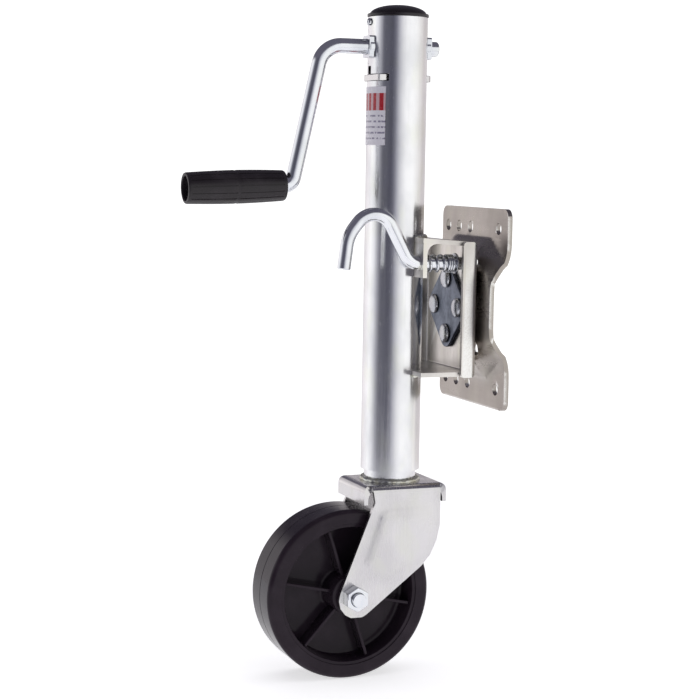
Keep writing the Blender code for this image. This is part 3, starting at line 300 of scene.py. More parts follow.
@dataclass(frozen=True)
class WeldMetal(SurfaceFinish):
    """A weld bead under zinc: rippled, with straw heat colours where the plating is thin."""

    straw: str = "#cbc8b4"
    ripple_mm: float = 1.6

    def fill(self, tree: bpy.types.NodeTree, shader: bpy.types.Node) -> None:
        """Heat colours by blotches and a rough rippled surface.

        Args:
            tree: material's node tree.
            shader: its Principled shader.
        """
        blotch = surface_noise(tree, (6.0, 6.0, 4.0), 3.0)
        ripple = surface_noise(tree, (self.ripple_mm,) * 3, 3.0)
        colour = mixed(tree, ranged(tree, blotch, 0.4, 0.65, 0.0, 0.8), linear(self.colour), linear(self.straw))
        tree.links.new(colour, shader.inputs["Base Color"])
        shader.inputs["Metallic"].default_value = 1.0
        tree.links.new(ranged(tree, ripple, 0.3, 0.7, *self.roughness), shader.inputs["Roughness"])
        self.bump(tree, shader, ripple, 0.12)


@dataclass(frozen=True)
class PrintedSticker(SurfaceFinish):
    """A laminated paper sticker: white stock, a red block with paler bars, and rows of grey dashes."""

    red: str = "#b3202c"
    ink: str = "#8f8aa0"
    block_mm: tuple[float, float] = (166.5, 181.0)
    rows_mm: tuple[float, float] = (139.5, 164.5)
    row_pitch_mm: float = 4.7

    def fill(self, tree: bpy.types.NodeTree, shader: bpy.types.Node) -> None:
        """Print the block and the dashes by height and by the way round the tube.

        Args:
            tree: material's node tree.
            shader: its Principled shader.
        """
        coords = add_node(tree, "ShaderNodeTexCoord").outputs["Object"]
        split = add_node(tree, "ShaderNodeSeparateXYZ", {0: coords})
        height = worked(tree, "MULTIPLY", split.outputs[2], 1000.0)
        round_way = worked(tree, "MULTIPLY", split.outputs[1], 1000.0)
        in_block = self.between(tree, height, *self.block_mm)
        bar = worked(tree, "FRACT", worked(tree, "DIVIDE", worked(tree, "ADD", round_way, 60.0), 6.2))
        pale_bar = worked(tree, "MULTIPLY", self.between(tree, bar, 0.38, 0.86), 0.75)
        row = worked(tree, "FRACT", worked(tree, "DIVIDE", height, self.row_pitch_mm))
        dash = ranged(tree, surface_noise(tree, (1.5, 1.5, 3.4), 1.0), 0.44, 0.50, 0.0, 1.0)
        inked = self.between(tree, row, 0.3, 0.62)
        in_rows = worked(tree, "MULTIPLY", self.between(tree, height, *self.rows_mm), inked)
        block = mixed(tree, pale_bar, linear(self.red), linear("#dcc6cd"))
        colour = mixed(tree, in_block, linear(self.colour), block)
        colour = mixed(tree, worked(tree, "MULTIPLY", in_rows, dash), colour, linear(self.ink))
        tree.links.new(colour, shader.inputs["Base Color"])
        tree.links.new(ranged(tree, dash, 0.0, 1.0, *self.roughness), shader.inputs["Roughness"])
        self.bump(tree, shader, surface_noise(tree, (7.0, 7.0, 7.0)), 0.03)

    def between(self, tree: bpy.types.NodeTree, value: Any, low: float, high: float) -> Any:
        """A socket that is one where the value lies between low and high, and zero elsewhere."""
        above = worked(tree, "GREATER_THAN", value, low)
        return worked(tree, "MULTIPLY", above, worked(tree, "LESS_THAN", value, high))


@dataclass(frozen=True)
class StudioPaper(SurfaceFinish):
    """Pale matt paper on a light table, with a barely seen tooth."""

    glow: float = 0.62

    def fill(self, tree: bpy.types.NodeTree, shader: bpy.types.Node) -> None:
        """Very soft clouds in colour and a fine tooth.

        Args:
            tree: material's node tree.
            shader: its Principled shader.
        """
        cloud = surface_noise(tree, (300.0, 300.0, 300.0), 2.0)
        colour = mixed(tree, ranged(tree, cloud, 0.3, 0.7, 0.0, 0.3), linear(self.colour), linear("#f6f6f6"))
        tree.links.new(colour, shader.inputs["Base Color"])
        tree.links.new(ranged(tree, cloud, 0.3, 0.7, *self.roughness), shader.inputs["Roughness"])
        shader.inputs["Emission Color"].default_value = linear("#ffffff")
        shader.inputs["Emission Strength"].default_value = self.glow
        self.bump(tree, shader, surface_noise(tree, (1.5, 1.5, 1.5)), 0.05)


class Finish(Enum):
    """The finishes that the jack's pieces are dressed in."""

    # Cold-drawn steel tube, bright zinc plated: satin, with long pale streaks along the draw.
    TUBE = PlatedSteel(
        "zinc_on_drawn_tube", "tube_zinc", "#eeeef0", (0.15, 0.24), "#cfd0d4", "#e4e6da", depth_mm=0.006
    )
    # Hot-rolled sheet, pressed and zinc plated: softer and warmer, with rolling marks across it.
    BRACKET = PlatedSteel(
        "zinc_on_pressed_bracket", "sheet_zinc", "#dedad5", (0.27, 0.38), "#bab5af", "#d6d6c2",
        lay_mm=(20.0, 1.2, 60.0),
    )
    # Thick pressed plate, zinc plated: grey-brown, the dullest and darkest of the sheets.
    PLATE = PlatedSteel(
        "zinc_on_mount_plate", "sheet_zinc", "#aaa39d", (0.26, 0.33), "#938c86", "#a8a498",
        lay_mm=(30.0, 40.0, 4.0), depth_mm=0.003, lay_share=0.06,
    )
    # Pressed sheet of the fork, zinc plated: pale and smooth, with a faint upright grain.
    FORK = PlatedSteel(
        "zinc_on_fork_sheet", "fork_zinc", "#d3d1d2", (0.20, 0.30), "#c2c0c2", "#cfd0c6",
        lay_mm=(1.4, 30.0, 50.0), depth_mm=0.004, lay_share=0.07,
    )
    # Turned or bent steel bar, bright zinc plated: nearly mirror, with fine drawing lines.
    BRIGHT = PlatedSteel(
        "bright_zinc_on_bar", "bright_zinc", "#e6e8ec", (0.11, 0.20), "#c3c6cd", "#dfe2dc",
        lay_mm=(8.0, 0.4, 8.0), depth_mm=0.005,
    )
    # Cold-headed steel rivet, zinc plated and dulled by the set: softer and darker than the bar.
    RIVET = PlatedSteel(
        "zinc_on_rivet", "bright_zinc", "#c3c5ca", (0.22, 0.32), "#9799a2", "#c9cac2",
        lay_mm=(2.0, 2.0, 2.0), depth_mm=0.005,
    )
    # Phosphated steel sheet, as it comes from the bath: blue-grey and mottled.
    BLUED = PlatedSteel(
        "phosphated_sheet", "blue_steel", "#6d7482", (0.34, 0.50), "#4a505c", "#7c8490", "#c3c6cc",
        (3.0, 3.0, 3.0), 9.0,
    )
    # Machined carbon steel under oil, inside the tube: grey, with fine tool marks.
    MACHINED = PlatedSteel(
        "machined_steel", "plain_steel", "#a9a9ab", (0.28, 0.42), "#7c7a78", "#a39b8b", lay_mm=(0.3, 0.3, 0.5)
    )
    # Turned bearing bronze of the nut: brown-gold, with tool rings.
    BRONZE = PlatedSteel(
        "turned_bronze", "bronze", "#b58a4a", (0.28, 0.42), "#8a6532", "#b99b57", "#e0bf83", (20.0, 20.0, 0.3)
    )
    # Injection-moulded polypropylene of the grip, from a textured mould: satin black.
    GRIP = MouldedPlastic("moulded_grip", "satin_black", "#1d171c", (0.36, 0.48), "#4b444b", 0.7, 0.02, 0.25)
    # Injection-moulded polyethylene of the cap, from a smoother mould: black and a little shinier.
    CAP = MouldedPlastic("moulded_cap", "satin_black", "#1c171c", (0.24, 0.34), "#453f46", 0.6, 0.012, 0.15)
    # Injection-moulded polypropylene of the wheel, from a polished mould: purplish black gloss.
    WHEEL = MouldedPlastic(
        "moulded_wheel", "gloss_black", "#282028", (0.10, 0.20), "#453c45", 0.9, 0.008, 0.14, shine=0.14
    )
    # Arc weld bead, plated over: silvery and lumpy, with straw blotches.
    WELD = WeldMetal("weld_under_zinc", "tube_zinc", "#d9dad2", (0.25, 0.5))
    # Printed paper under a clear film: white with a lilac cast, red block, grey dashes.
    STICKER = PrintedSticker("laminated_sticker", "paper_label", "#e9e6ee", (0.22, 0.30))
    # Matt background paper over a light table: plain near-white ground.
    PAPER = StudioPaper("studio_paper", "", "#fbfbfb", (0.6, 0.8))


def take(piece: bpy.types.Object) -> None:
    """Make a piece the only selected one and the active one.

    Args:
        piece: piece that the next operators work on.
    """
    bpy.ops.object.select_all(action="DESELECT")
    piece.select_set(True)
    bpy.context.view_layer.objects.active = piece


def edit(start: bool = True) -> None:
    """Go into edit mode, or leave it."""
    bpy.ops.object.mode_set(mode="EDIT" if start else "OBJECT")


def started(name: str) -> bpy.types.Object:
    """Name the primitive just added, apply its place and open it for editing, selected all over.

    Args:
        name: name of the new piece.

    Returns:
        The new piece.
    """
    piece = bpy.context.object
    piece.name = name
    piece.data.name = name
    take(piece)
    bpy.ops.object.transform_apply(location=True, rotation=True, scale=True)
    edit()
    bpy.ops.mesh.select_mode(type="VERT")
    bpy.ops.mesh.select_all(action="SELECT")
    return piece


def tidied(piece: bpy.types.Object) -> bpy.types.Object:
    """Merge doubled points, turn the faces outwards and leave edit mode.

    Args:
        piece: closed piece that is open for editing.

    Returns:
        The same piece.
    """
    bpy.ops.mesh.select_all(action="SELECT")
    bpy.ops.mesh.remove_doubles(threshold=WELD_DISTANCE)
    bpy.ops.mesh.normals_make_consistent(inside=False)
    edit(False)
    return piece


def pick_faces(piece: bpy.types.Object, wanted: Callable[[Vector, Vector], bool]) -> None:
    """Select the faces that a test on centre and normal wants.

    Args:
        piece: piece that is open for editing.
        wanted: test of a face's centre and normal.
    """
    bpy.ops.mesh.select_mode(type="FACE")
    mesh = bmesh.from_edit_mesh(piece.data)
    for face in mesh.faces:
        face.select_set(wanted(face.calc_center_median(), face.normal))
    mesh.select_flush_mode()
    bmesh.update_edit_mesh(piece.data)


def gridded(low: Vector, high: Vector, axis: int, step_mm: float) -> None:
    """Score the piece that is open for editing along evenly spaced planes.

    Args:
        low: lowest corner of the piece.
        high: highest corner of the piece.
        axis: axis across the planes, 0 for X.
        step_mm: distance between the planes.
    """
    across = [0.0, 0.0, 0.0]
    across[axis] = 1.0
    for k in range(1, math.ceil((high[axis] - low[axis]) / (step_mm * MM))):
        place = list(low)
        place[axis] += k * step_mm * MM
        bpy.ops.mesh.select_all(action="SELECT")
        bpy.ops.mesh.bisect(plane_co=place, plane_no=across)


def inside(place: Vector, outline: Sequence[Vector]) -> bool:
    """Whether a place lies within an outline, both seen along Y.

    Args:
        place: place that is tested.
        outline: corners in order.

    Returns:
        True when it lies within.
    """
    crossings = 0
    for here, after in zip(outline, [*outline[1:], outline[0]]):
        if (here.z > place.z) != (after.z > place.z):
            crossing = here.x + (after.x - here.x) * (place.z - here.z) / (after.z - here.z)
            crossings += crossing > place.x
    return crossings % 2 == 1


def with_modifier(piece: bpy.types.Object, kind: str, **settings: Any) -> None:
    """Add a modifier with its settings and apply it.

    Args:
        piece: piece that gets the modifier.
        kind: Blender's name of the modifier's type.
        settings: properties of the modifier.
    """
    take(piece)
    modifier = piece.modifiers.new(kind.lower(), kind)
    for key, value in settings.items():
        setattr(modifier, key, value)
    bpy.ops.object.modifier_apply(modifier=modifier.name)


def softened(
    piece: bpy.types.Object, edge_mm: float, smooth_deg: float = 45.0, steps: int = 2
) -> bpy.types.Object:
    """Round the sharp edges a little and shade the piece smoothly, with flat faces kept flat.

    Args:
        piece: finished shape.
        edge_mm: width of the rounding, or 0 for none.
        smooth_deg: angle below which an edge is shaded smooth.
        steps: segments across the rounding.

    Returns:
        The same piece.
    """
    if edge_mm:
        with_modifier(
            piece, "BEVEL", width=edge_mm * MM, segments=steps, limit_method="ANGLE",
            angle_limit=math.radians(SHARP_DEG), use_clamp_overlap=True, loop_slide=True, miter_outer="MITER_ARC",
        )
    take(piece)
    bpy.ops.object.shade_smooth_by_angle(angle=math.radians(smooth_deg))
    with_modifier(piece, "WEIGHTED_NORMAL", keep_sharp=True, weight=80)
    return piece


def dressed(piece: bpy.types.Object, finish: Finish, body: str, *nodes: str) -> bpy.types.Object:
    """Give a piece its finish, its body and the CAD nodes that it stands for.

    Args:
        piece: finished shape.
        finish: what it is dressed in.
        body: body that it rides on.
        nodes: CAD nodes that it replaces.

    Returns:
        The same piece.
    """
    piece.data.materials.clear()
    piece.data.materials.append(finish.value.material())
    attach(piece, body)
    if nodes:
        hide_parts(*nodes)
    LOG.info("%s: %s on %s, %d faces", piece.name, finish.value.name, body, len(piece.data.polygons))
    return piece


def copied(node: str, name: str) -> bpy.types.Object:
    """A copy of a CAD node with its points merged and its flats joined.

    Args:
        node: CAD node that is copied.
        name: name of the new piece.

    Returns:
        The new piece.
    """
    piece = bpy.data.objects.new(name, frame["nodes"][node].data.copy())
    piece.data.name = name
    bpy.context.scene.collection.objects.link(piece)
    take(piece)
    bpy.ops.mesh.customdata_custom_splitnormals_clear()
    edit()
    bpy.ops.mesh.select_all(action="SELECT")
    bpy.ops.mesh.remove_doubles(threshold=WELD_DISTANCE)
    bpy.ops.mesh.dissolve_limited(angle_limit=math.radians(FLAT_DEG))
    edit(False)
    return piece


def refined(node: str, name: str, edge_mm: float) -> bpy.types.Object:
    """A finer copy of a CAD node, with its cut edges rounded."""
    return softened(copied(node, name), edge_mm)


def lathed(name: str, profile: Profile, centre: Vector, axis: Vector, steps: int = 96) -> bpy.types.Object:
    """Draw a profile point by point and spin it round an axis.

    Args:
        name: name of the new piece.
        profile: radius and height of each point in millimetres; it ends on the axis or where it began.
        centre: place where the height is zero.
        axis: direction of the height.
        steps: faces round the axis.

    Returns:
        The new piece, closed and turned outwards.
    """
    bpy.ops.object.select_all(action="DESELECT")
    bpy.ops.mesh.primitive_plane_add(size=MM, location=centre)
    piece = started(name)
    bpy.ops.mesh.merge(type="CENTER")
    side = axis.orthogonal().normalized()
    places = [centre + (side * radius + axis * height) * MM for radius, height in profile]
    bpy.ops.transform.translate(value=places[0] - centre)
    for here, after in zip(places, places[1:]):
        bpy.ops.mesh.extrude_vertices_move(TRANSFORM_OT_translate={"value": after - here})
    bpy.ops.mesh.select_all(action="SELECT")
    bpy.ops.mesh.spin(steps=steps, angle=math.tau, center=centre, axis=axis)
    return tidied(piece)


def bent_rod(name: str, corners: Sequence[Vector], bends_mm: Sequence[float], radius_mm: float) -> bpy.types.Object:
    """Bend a round bar: a disc is pulled along each leg and spun round each bend.

    Args:
        name: name of the new piece.
        corners: ends and corners of the bar's middle line.
        bends_mm: bend radius at each inner corner.
        radius_mm: radius of the bar.

    Returns:
        The new piece.
    """
    along = (corners[1] - corners[0]).normalized()
    bpy.ops.object.select_all(action="DESELECT")
    bpy.ops.mesh.primitive_circle_add(
        vertices=40, radius=radius_mm * MM, fill_type="NGON", location=corners[0],
        rotation=along.to_track_quat("Z", "Y").to_euler(),
    )
    piece = started(name)
    here = corners[0]
    for corner, bend, after in zip(corners[1:-1], bends_mm, corners[2:]):
        back = (corner - here).normalized()
        ahead = (after - corner).normalized()
        turn = back.angle(ahead)
        reach = bend * MM * math.tan(turn / 2.0)
        hinge = back.cross(ahead).normalized()
        tangent = corner - back * reach
        pull(tangent - here)
        centre = tangent + hinge.cross(back) * bend * MM
        bpy.ops.mesh.spin(steps=14, angle=turn, center=centre, axis=-hinge)
        here = corner + ahead * reach
    pull(corners[-1] - here)
    return tidied(piece)


def pull(way: Vector) -> None:
    """Extrude what is selected along a vector."""
    bpy.ops.mesh.extrude_region_move(TRANSFORM_OT_translate={"value": way})


def weld_run(
    name: str, centre: Vector, radius_mm: float, bead_mm: float, keep_from: Optional[Vector] = None
) -> bpy.types.Object:
    """A weld bead round the tube: a ring, cut to its arc and roughened.

    Args:
        name: name of the new piece.
        centre: centre of the ring.
        radius_mm: radius of the ring.
        bead_mm: radius of the bead.
        keep_from: place of the cutting plane; what lies on its +X side is kept. None keeps the whole ring.

    Returns:
        The new piece.
    """
    bpy.ops.object.select_all(action="DESELECT")
    bpy.ops.mesh.primitive_torus_add(
        location=centre, major_radius=radius_mm * MM, minor_radius=bead_mm * MM, major_segments=180,
        minor_segments=14,
    )
    piece = started(name)
    if keep_from is not None:
        bpy.ops.mesh.bisect(plane_co=keep_from, plane_no=(1.0, 0.0, 0.0), use_fill=True, clear_inner=True)
    tidied(piece)
    ripple = bpy.data.textures.new(name, "CLOUDS")
    ripple.noise_scale = 3.4 * MM
    with_modifier(piece, "DISPLACE", texture=ripple, strength=1.5 * MM, mid_level=0.55, texture_coords="LOCAL")
    take(piece)
    bpy.ops.object.shade_smooth()
    return piece


@dataclass
class BeamMount:
    """The pressed plate on the beam, the pivot boss, the retaining plate and the rivets through them."""

    sheet: float = 4.0
    sheet_edge: float = 1.1
    grid: float = 3.0
    passes: int = 22
    crown: float = 3.0
    crown_flat: float = 0.12
    tail: float = 2.6
    shank: float = 3.4

    def build(self) -> None:
        """Press the plate, refine the boss and the retaining plate, and turn the rivets."""
        dressed(self.plate(), Finish.PLATE, "mount", "mount_plate")
        boss = refined("pivot_boss", "turned_pivot_boss", 0.4)
        dressed(boss, Finish.BRACKET, "mount", "pivot_boss")
        keeper = refined("retaining_plate", "rounded_retaining_plate", 0.9)
        dressed(keeper, Finish.BLUED, "mount", "retaining_plate")
        for place in ("top", "bottom", "front", "back"):
            self.rivet(place)

    def plate(self) -> bpy.types.Object:
        """Press the plate: its front skin is cut into a fine grid, relaxed along X and given its thickness.

        Returns:
            The plate.
        """
        low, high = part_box("mount_plate")
        piece = copied("mount_plate", "pressed_mount_plate")
        edit()
        pick_faces(piece, lambda middle, normal: normal.x > -0.2)
        bpy.ops.mesh.delete(type="FACE")
        for axis in (1, 2):
            gridded(low, high, axis, self.grid)
        bpy.ops.mesh.select_all(action="SELECT")
        bpy.ops.mesh.vertices_smooth(factor=0.5, repeat=self.passes, xaxis=True, yaxis=False, zaxis=False)
        edit(False)
        with_modifier(piece, "SOLIDIFY", thickness=self.sheet * MM, offset=-1.0, use_even_offset=True)
        softened(piece, self.sheet_edge, 40.0, 3)
        for corner, sign in ((low, -1.0), (high, 1.0)):
            for axis in (0, 1):
                self.flatten(piece, axis, corner[axis], sign)
        return piece

    def flatten(self, piece: bpy.types.Object, axis: int, limit: float, sign: float) -> None:
        """Press what stands past a plane back onto it.

        Args:
            piece: piece that is pressed.
            axis: axis across the plane, 0 for X.
            limit: where the plane crosses that axis.
            sign: side of the plane that is kept clear, 1.0 for the high side.
        """
        take(piece)
        edit()
        bpy.ops.mesh.select_mode(type="VERT")
        bpy.ops.mesh.select_all(action="DESELECT")
        mesh = bmesh.from_edit_mesh(piece.data)
        for vert in mesh.verts:
            vert.select_set((vert.co[axis] - limit) * sign > 0.0)
        bmesh.update_edit_mesh(piece.data)
        squeeze, centre = [1.0, 1.0, 1.0], [0.0, 0.0, 0.0]
        squeeze[axis], centre[axis] = 0.0, limit
        if any(vert.select for vert in mesh.verts):
            bpy.ops.transform.resize(value=squeeze, center_override=centre)
        edit(False)

    def rivet(self, place: str) -> None:
        """Turn one rivet with its domed head, its shank and its set tail.

        Args:
            place: which of the four rivets.
        """
        low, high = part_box(f"rivet_{place}")
        middle = (low + high) / 2.0
        head = (high.y - low.y) / MM / 2.0
        length = (high.x - low.x) / MM
        crown, tail, shank, flat = self.crown, self.tail, self.shank, self.crown_flat
        profile = [(0.0, 0.0), (flat * head, 0.05)]
        for k in range(1, 10):
            angle = math.radians(90.0 - 10.0 * k)
            reach = flat + (1.0 - flat) * math.cos(angle)
            profile.append((head * reach, crown * (1.0 - math.sin(angle))))
        profile += [(head, crown), (head - 0.3, crown), (shank, crown), (shank, length - tail)]
        profile += [(1.5 * shank, length - tail), (1.5 * shank, length - 0.5 * tail)]
        profile += [(1.2 * shank, length), (0.0, length)]
        start = Vector((low.x, middle.y, middle.z))
        piece = lathed(f"domed_rivet_{place}", profile, start, Vector((1, 0, 0)), 48)
        dressed(softened(piece, 0.0, 40.0), Finish.RIVET, "mount", f"rivet_{place}")


@dataclass
class SwivelBracket:
    """The pressed pan that is welded to the tube."""

    edge: float = 0.8
    tube_radius: float = 25.4
    bead: float = 2.0
    flange_end: float = 9.6

    def build(self) -> None:
        """Refine the pan and lay a weld run where each flange meets the tube."""
        pan = refined("swivel_bracket", "pressed_swivel_bracket", self.edge)
        dressed(pan, Finish.BRACKET, "jack", "swivel_bracket")
        low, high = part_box("swivel_bracket")
        for side, height in (("upper", high.z / MM + 0.1), ("lower", low.z / MM - 0.1)):
            keep_from = at(self.flange_end, 0, height)
            bead = weld_run(
                f"{side}_flange_weld", at(0, 0, height), self.tube_radius + 0.9, self.bead, keep_from
            )
            dressed(bead, Finish.WELD, "jack")


@dataclass
class TubeHead:
    """The outer tube with its cap, shaft bushes, thrust plate and sticker."""

    rim: float = 2.2
    skirt: float = 22.4

    def build(self) -> None:
        """Refine the tube and its small parts, and turn the cap and its screw."""
        dressed(refined("outer_tube", "drawn_outer_tube", 0.5), Finish.TUBE, "jack", "outer_tube")
        dressed(refined("thrust_plate", "thrust_plate_blank", 0.7), Finish.FORK, "jack", "thrust_plate")
        dressed(refined("label", "wrapped_sticker", 0.0), Finish.STICKER, "jack", "label")
        for place in ("outer", "inner"):
            bush = refined(f"shaft_bush_{place}", f"square_faced_bush_{place}", 0.6)
            dressed(bush, Finish.BRIGHT, "jack", f"shaft_bush_{place}")
        self.cap()
        self.screw()

    def cap(self) -> None:
        """Turn the domed cap: a skirt in the tube, a rim on it, a groove and a crowned top."""
        low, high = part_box("top_cap")
        outer = (high.x - low.x) / MM / 2.0
        top = high.z / MM
        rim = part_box("outer_tube")[1].z / MM + 0.3
        skirt = self.skirt
        profile = [(0.0, rim - 1.0), (skirt - 2.0, rim - 1.0), (skirt - 2.0, rim - 14.0), (skirt, rim - 14.0)]
        profile += [(skirt, rim), (outer - 0.5, rim), (outer, rim + 0.4), (outer, rim + self.rim)]
        profile += [(outer - 0.4, rim + self.rim + 0.5), (outer - 1.2, rim + self.rim + 0.6)]
        profile += [(outer - 1.5, rim + self.rim + 0.1)]
        dome = outer - 1.9
        rise = top - rim - self.rim
        for k in range(12):
            angle = math.radians(8.0 * k)
            profile.append((dome * math.cos(angle), rim + self.rim + rise * math.sin(angle)))
        profile.append((0.0, top))
        piece = lathed("domed_cap", profile, at(0, 0, 0), Vector((0, 0, 1)), 96)
        dressed(softened(piece, 0.0, 38.0), Finish.CAP, "jack", "top_cap")

    def screw(self) -> None:
        """Turn the cap screw, with a recess in its pan head."""
        low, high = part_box("cap_screw")
        middle = (low + high) / 2.0
        length = (high.x - low.x) / MM
        profile = [(0.0, 1.1), (0.9, 0.9), (1.1, 0.1), (1.7, 0.0), (2.6, 0.5), (3.1, 1.3), (3.2, 2.3), (1.8, 2.3)]
        profile += [(1.8, length - 0.5), (1.3, length), (0.0, length)]
        piece = lathed("cap_screw_head", profile, Vector((low.x, middle.y, middle.z)), Vector((1, 0, 0)), 32)
        dressed(softened(piece, 0.0, 40.0), Finish.BRIGHT, "jack", "cap_screw")


@dataclass
class Crank:
    """The bent crank rod and the fluted grip that spins on its end."""

    shaft_end: float = 36.7
    shaft_height: float = 220.0
    arm_top: float = -67.5
    corner_x: float = -93.4
    corner_z: float = 102.7
    rod_radius: float = 6.35
    arm_bend: float = 20.0
    grip_bend: float = 9.0
    tilt_deg: float = 2.1
    grip_length: float = 85.6
    pocket: float = 12.0
    flutes: int = 15
    flute_depth: float = 0.4
    waist: float = 0.35
    # Shares of the grip's length where its barrel is measured, crowded round the fine line at its waist.
    stations: tuple[float, ...] = (
        0.04, 0.10, 0.17, 0.24, 0.32, 0.40, 0.46, 0.485, 0.5, 0.515, 0.54, 0.60, 0.68, 0.76, 0.83, 0.90, 0.965,
    )

    def way(self) -> Vector:
        """Direction of the grip, away from the tube.

        Returns:
            A unit vector.
        """
        tilt = math.radians(self.tilt_deg)
        return Vector((-math.cos(tilt), 0.0, -math.sin(tilt)))

    def grip_start(self) -> Vector:
        """Middle of the grip's inner end.

        Returns:
            Its place.
        """
        corner = at(self.corner_x, 0, self.corner_z)
        half = (at(self.arm_top, 0, self.shaft_height) - corner).angle(self.way()) / 2.0
        return corner + self.way() * (self.grip_bend / math.tan(half) + 0.3) * MM

    def build(self) -> None:
        """Bend the rod, turn the grip and cut its flutes, and refine the push nut."""
        start = self.grip_start()
        end = start + self.way() * (self.grip_length - self.pocket + 5.0) * MM
        corners = [at(self.shaft_end, 0, self.shaft_height), at(self.arm_top, 0, self.shaft_height)]
        corners += [at(self.corner_x, 0, self.corner_z), end]
        rod = bent_rod("bent_crank_rod", corners, [self.arm_bend, self.grip_bend], self.rod_radius)
        dressed(softened(rod, 1.6, 50.0, 4), Finish.BRIGHT, "crank", "crank_rod")
        dressed(refined("grip_push_nut", "push_nut", 0.2), Finish.BRIGHT, "crank", "grip_push_nut")
        self.grip(start)

    def grip(self, start: Vector) -> None:
        """Turn the barrel-shaped grip and sink shallow flutes either side of the fine line at its waist.

        Args:
            start: middle of its inner end.
        """
        end, bore = self.grip_length, self.rod_radius + 0.3
        inner, middle, outer = 12.8, 14.0, 13.0
        profile = [(bore, 0.0), (inner - 1.4, 0.0), (inner - 0.4, 0.3), (inner, 1.2)]
        for share in self.stations:
            plain = inner + (outer - inner) * share
            swell = plain + (middle - plain) * math.sin(math.pi * share)
            profile.append((swell - (self.waist if share == 0.5 else 0.0), end * share))
        profile += [(outer, end - 1.2), (outer - 0.4, end - 0.3), (outer - 1.2, end), (10.8, end), (10.2, end - 0.8)]
        profile += [(10.2, end - self.pocket), (bore, end - self.pocket), (bore, 0.0)]
        steps = self.flutes * 6
        piece = lathed("fluted_grip", profile, start, self.way(), steps)
        side = self.way().orthogonal().normalized()
        up = self.way().cross(side)
        edit()

        def in_flute(centre: Vector, normal: Vector) -> bool:
            """Whether a face of the barrel lies in one of the flutes.

            Args:
                centre: middle of the face.
                normal: its normal.

            Returns:
                True when it does.
            """
            along = (centre - start).dot(self.way()) / MM
            spoke = (centre - start) - self.way() * along * MM
            angle = math.atan2(spoke.dot(up), spoke.dot(side)) % math.tau
            banded = 0.05 * end < along < 0.48 * end or 0.52 * end < along < 0.96 * end
            return banded and normal.dot(spoke.normalized()) > 0.9 and int(angle / math.tau * steps) % 6 == 0

        pick_faces(piece, in_flute)
        bpy.ops.mesh.inset(thickness=0.12 * MM, depth=-self.flute_depth * MM, use_boundary=True)
        edit(False)
        dressed(softened(piece, 0.0, 32.0), Finish.GRIP, "grip", "crank_grip")


@dataclass
class PlungerLock:
    """The hooked plunger rod with its spring, washer and cross pin."""

    rod_radius: float = 5.6
    line_y: float = -34.0
    line_z: float = 38.8
    tip_x: float = 59.6
    wire: float = 1.0
    coil: float = 6.9
    spring_start: float = 14.1
    spring_end: float = 39.8
    close_pitch: float = 2.1
    open_turns: int = 3
    close_turns: int = 3

    def build(self) -> None:
        """Bend the hook, wind the spring and refine the washer and the pin."""
        hook = ((-58.8, 34.0), (-55.4, 61.7), (-29.6, 94.8), (0.4, self.line_z), (self.tip_x, self.line_z))
        corners = [at(x, self.line_y, z) for x, z in hook]
        rod = bent_rod("hooked_plunger_rod", corners, [30.0, 18.0, 14.0], self.rod_radius)
        dressed(softened(rod, 1.2, 50.0, 4), Finish.BRIGHT, "plunger", "plunger_rod")
        dressed(self.spring(), Finish.BRIGHT, "plunger", "plunger_spring")
        for node in ("plunger_washer", "plunger_cross_pin"):
            dressed(refined(node, f"plated_{node}", 0.25), Finish.BRIGHT, "plunger", node)

    def spring(self) -> bpy.types.Object:
        """Wind the open coils and then the close ones, and join them.

        Returns:
            The spring.
        """
        close = self.close_turns * self.close_pitch
        pitch = (self.spring_end - self.spring_start - close) / self.open_turns
        first = self.winding("plated_spring", self.spring_start, pitch, self.open_turns)
        last = self.winding("close_coils", self.spring_end - close, self.close_pitch, self.close_turns)
        take(first)
        last.select_set(True)
        bpy.ops.object.join()
        edit()
        bpy.ops.mesh.select_all(action="SELECT")
        bpy.ops.mesh.remove_doubles(threshold=0.02 * MM)
        bpy.ops.mesh.fill_holes(sides=0)
        tidied(first)
        return softened(first, 0.0, 50.0)

    def winding(self, name: str, start: float, pitch: float, turns: int) -> bpy.types.Object:
        """Screw a ring of wire round the plunger's line.

        Args:
            name: name of the new piece.
            start: where it starts along X.
            pitch: distance between its coils.
            turns: number of coils.

        Returns:
            The open-ended winding.
        """
        bpy.ops.object.select_all(action="DESELECT")
        axis_place = at(start, self.line_y, self.line_z)
        bpy.ops.mesh.primitive_circle_add(vertices=14, radius=self.wire * MM, location=(0.0, self.coil * MM, 0.0))
        piece = started(name)
        edit(False)
        piece.location = axis_place
        with_modifier(
            piece, "SCREW", axis="X", angle=math.tau, screw_offset=pitch * MM, iterations=turns, steps=36,
            render_steps=36,
        )
        bpy.ops.object.transform_apply(location=True)
        return piece


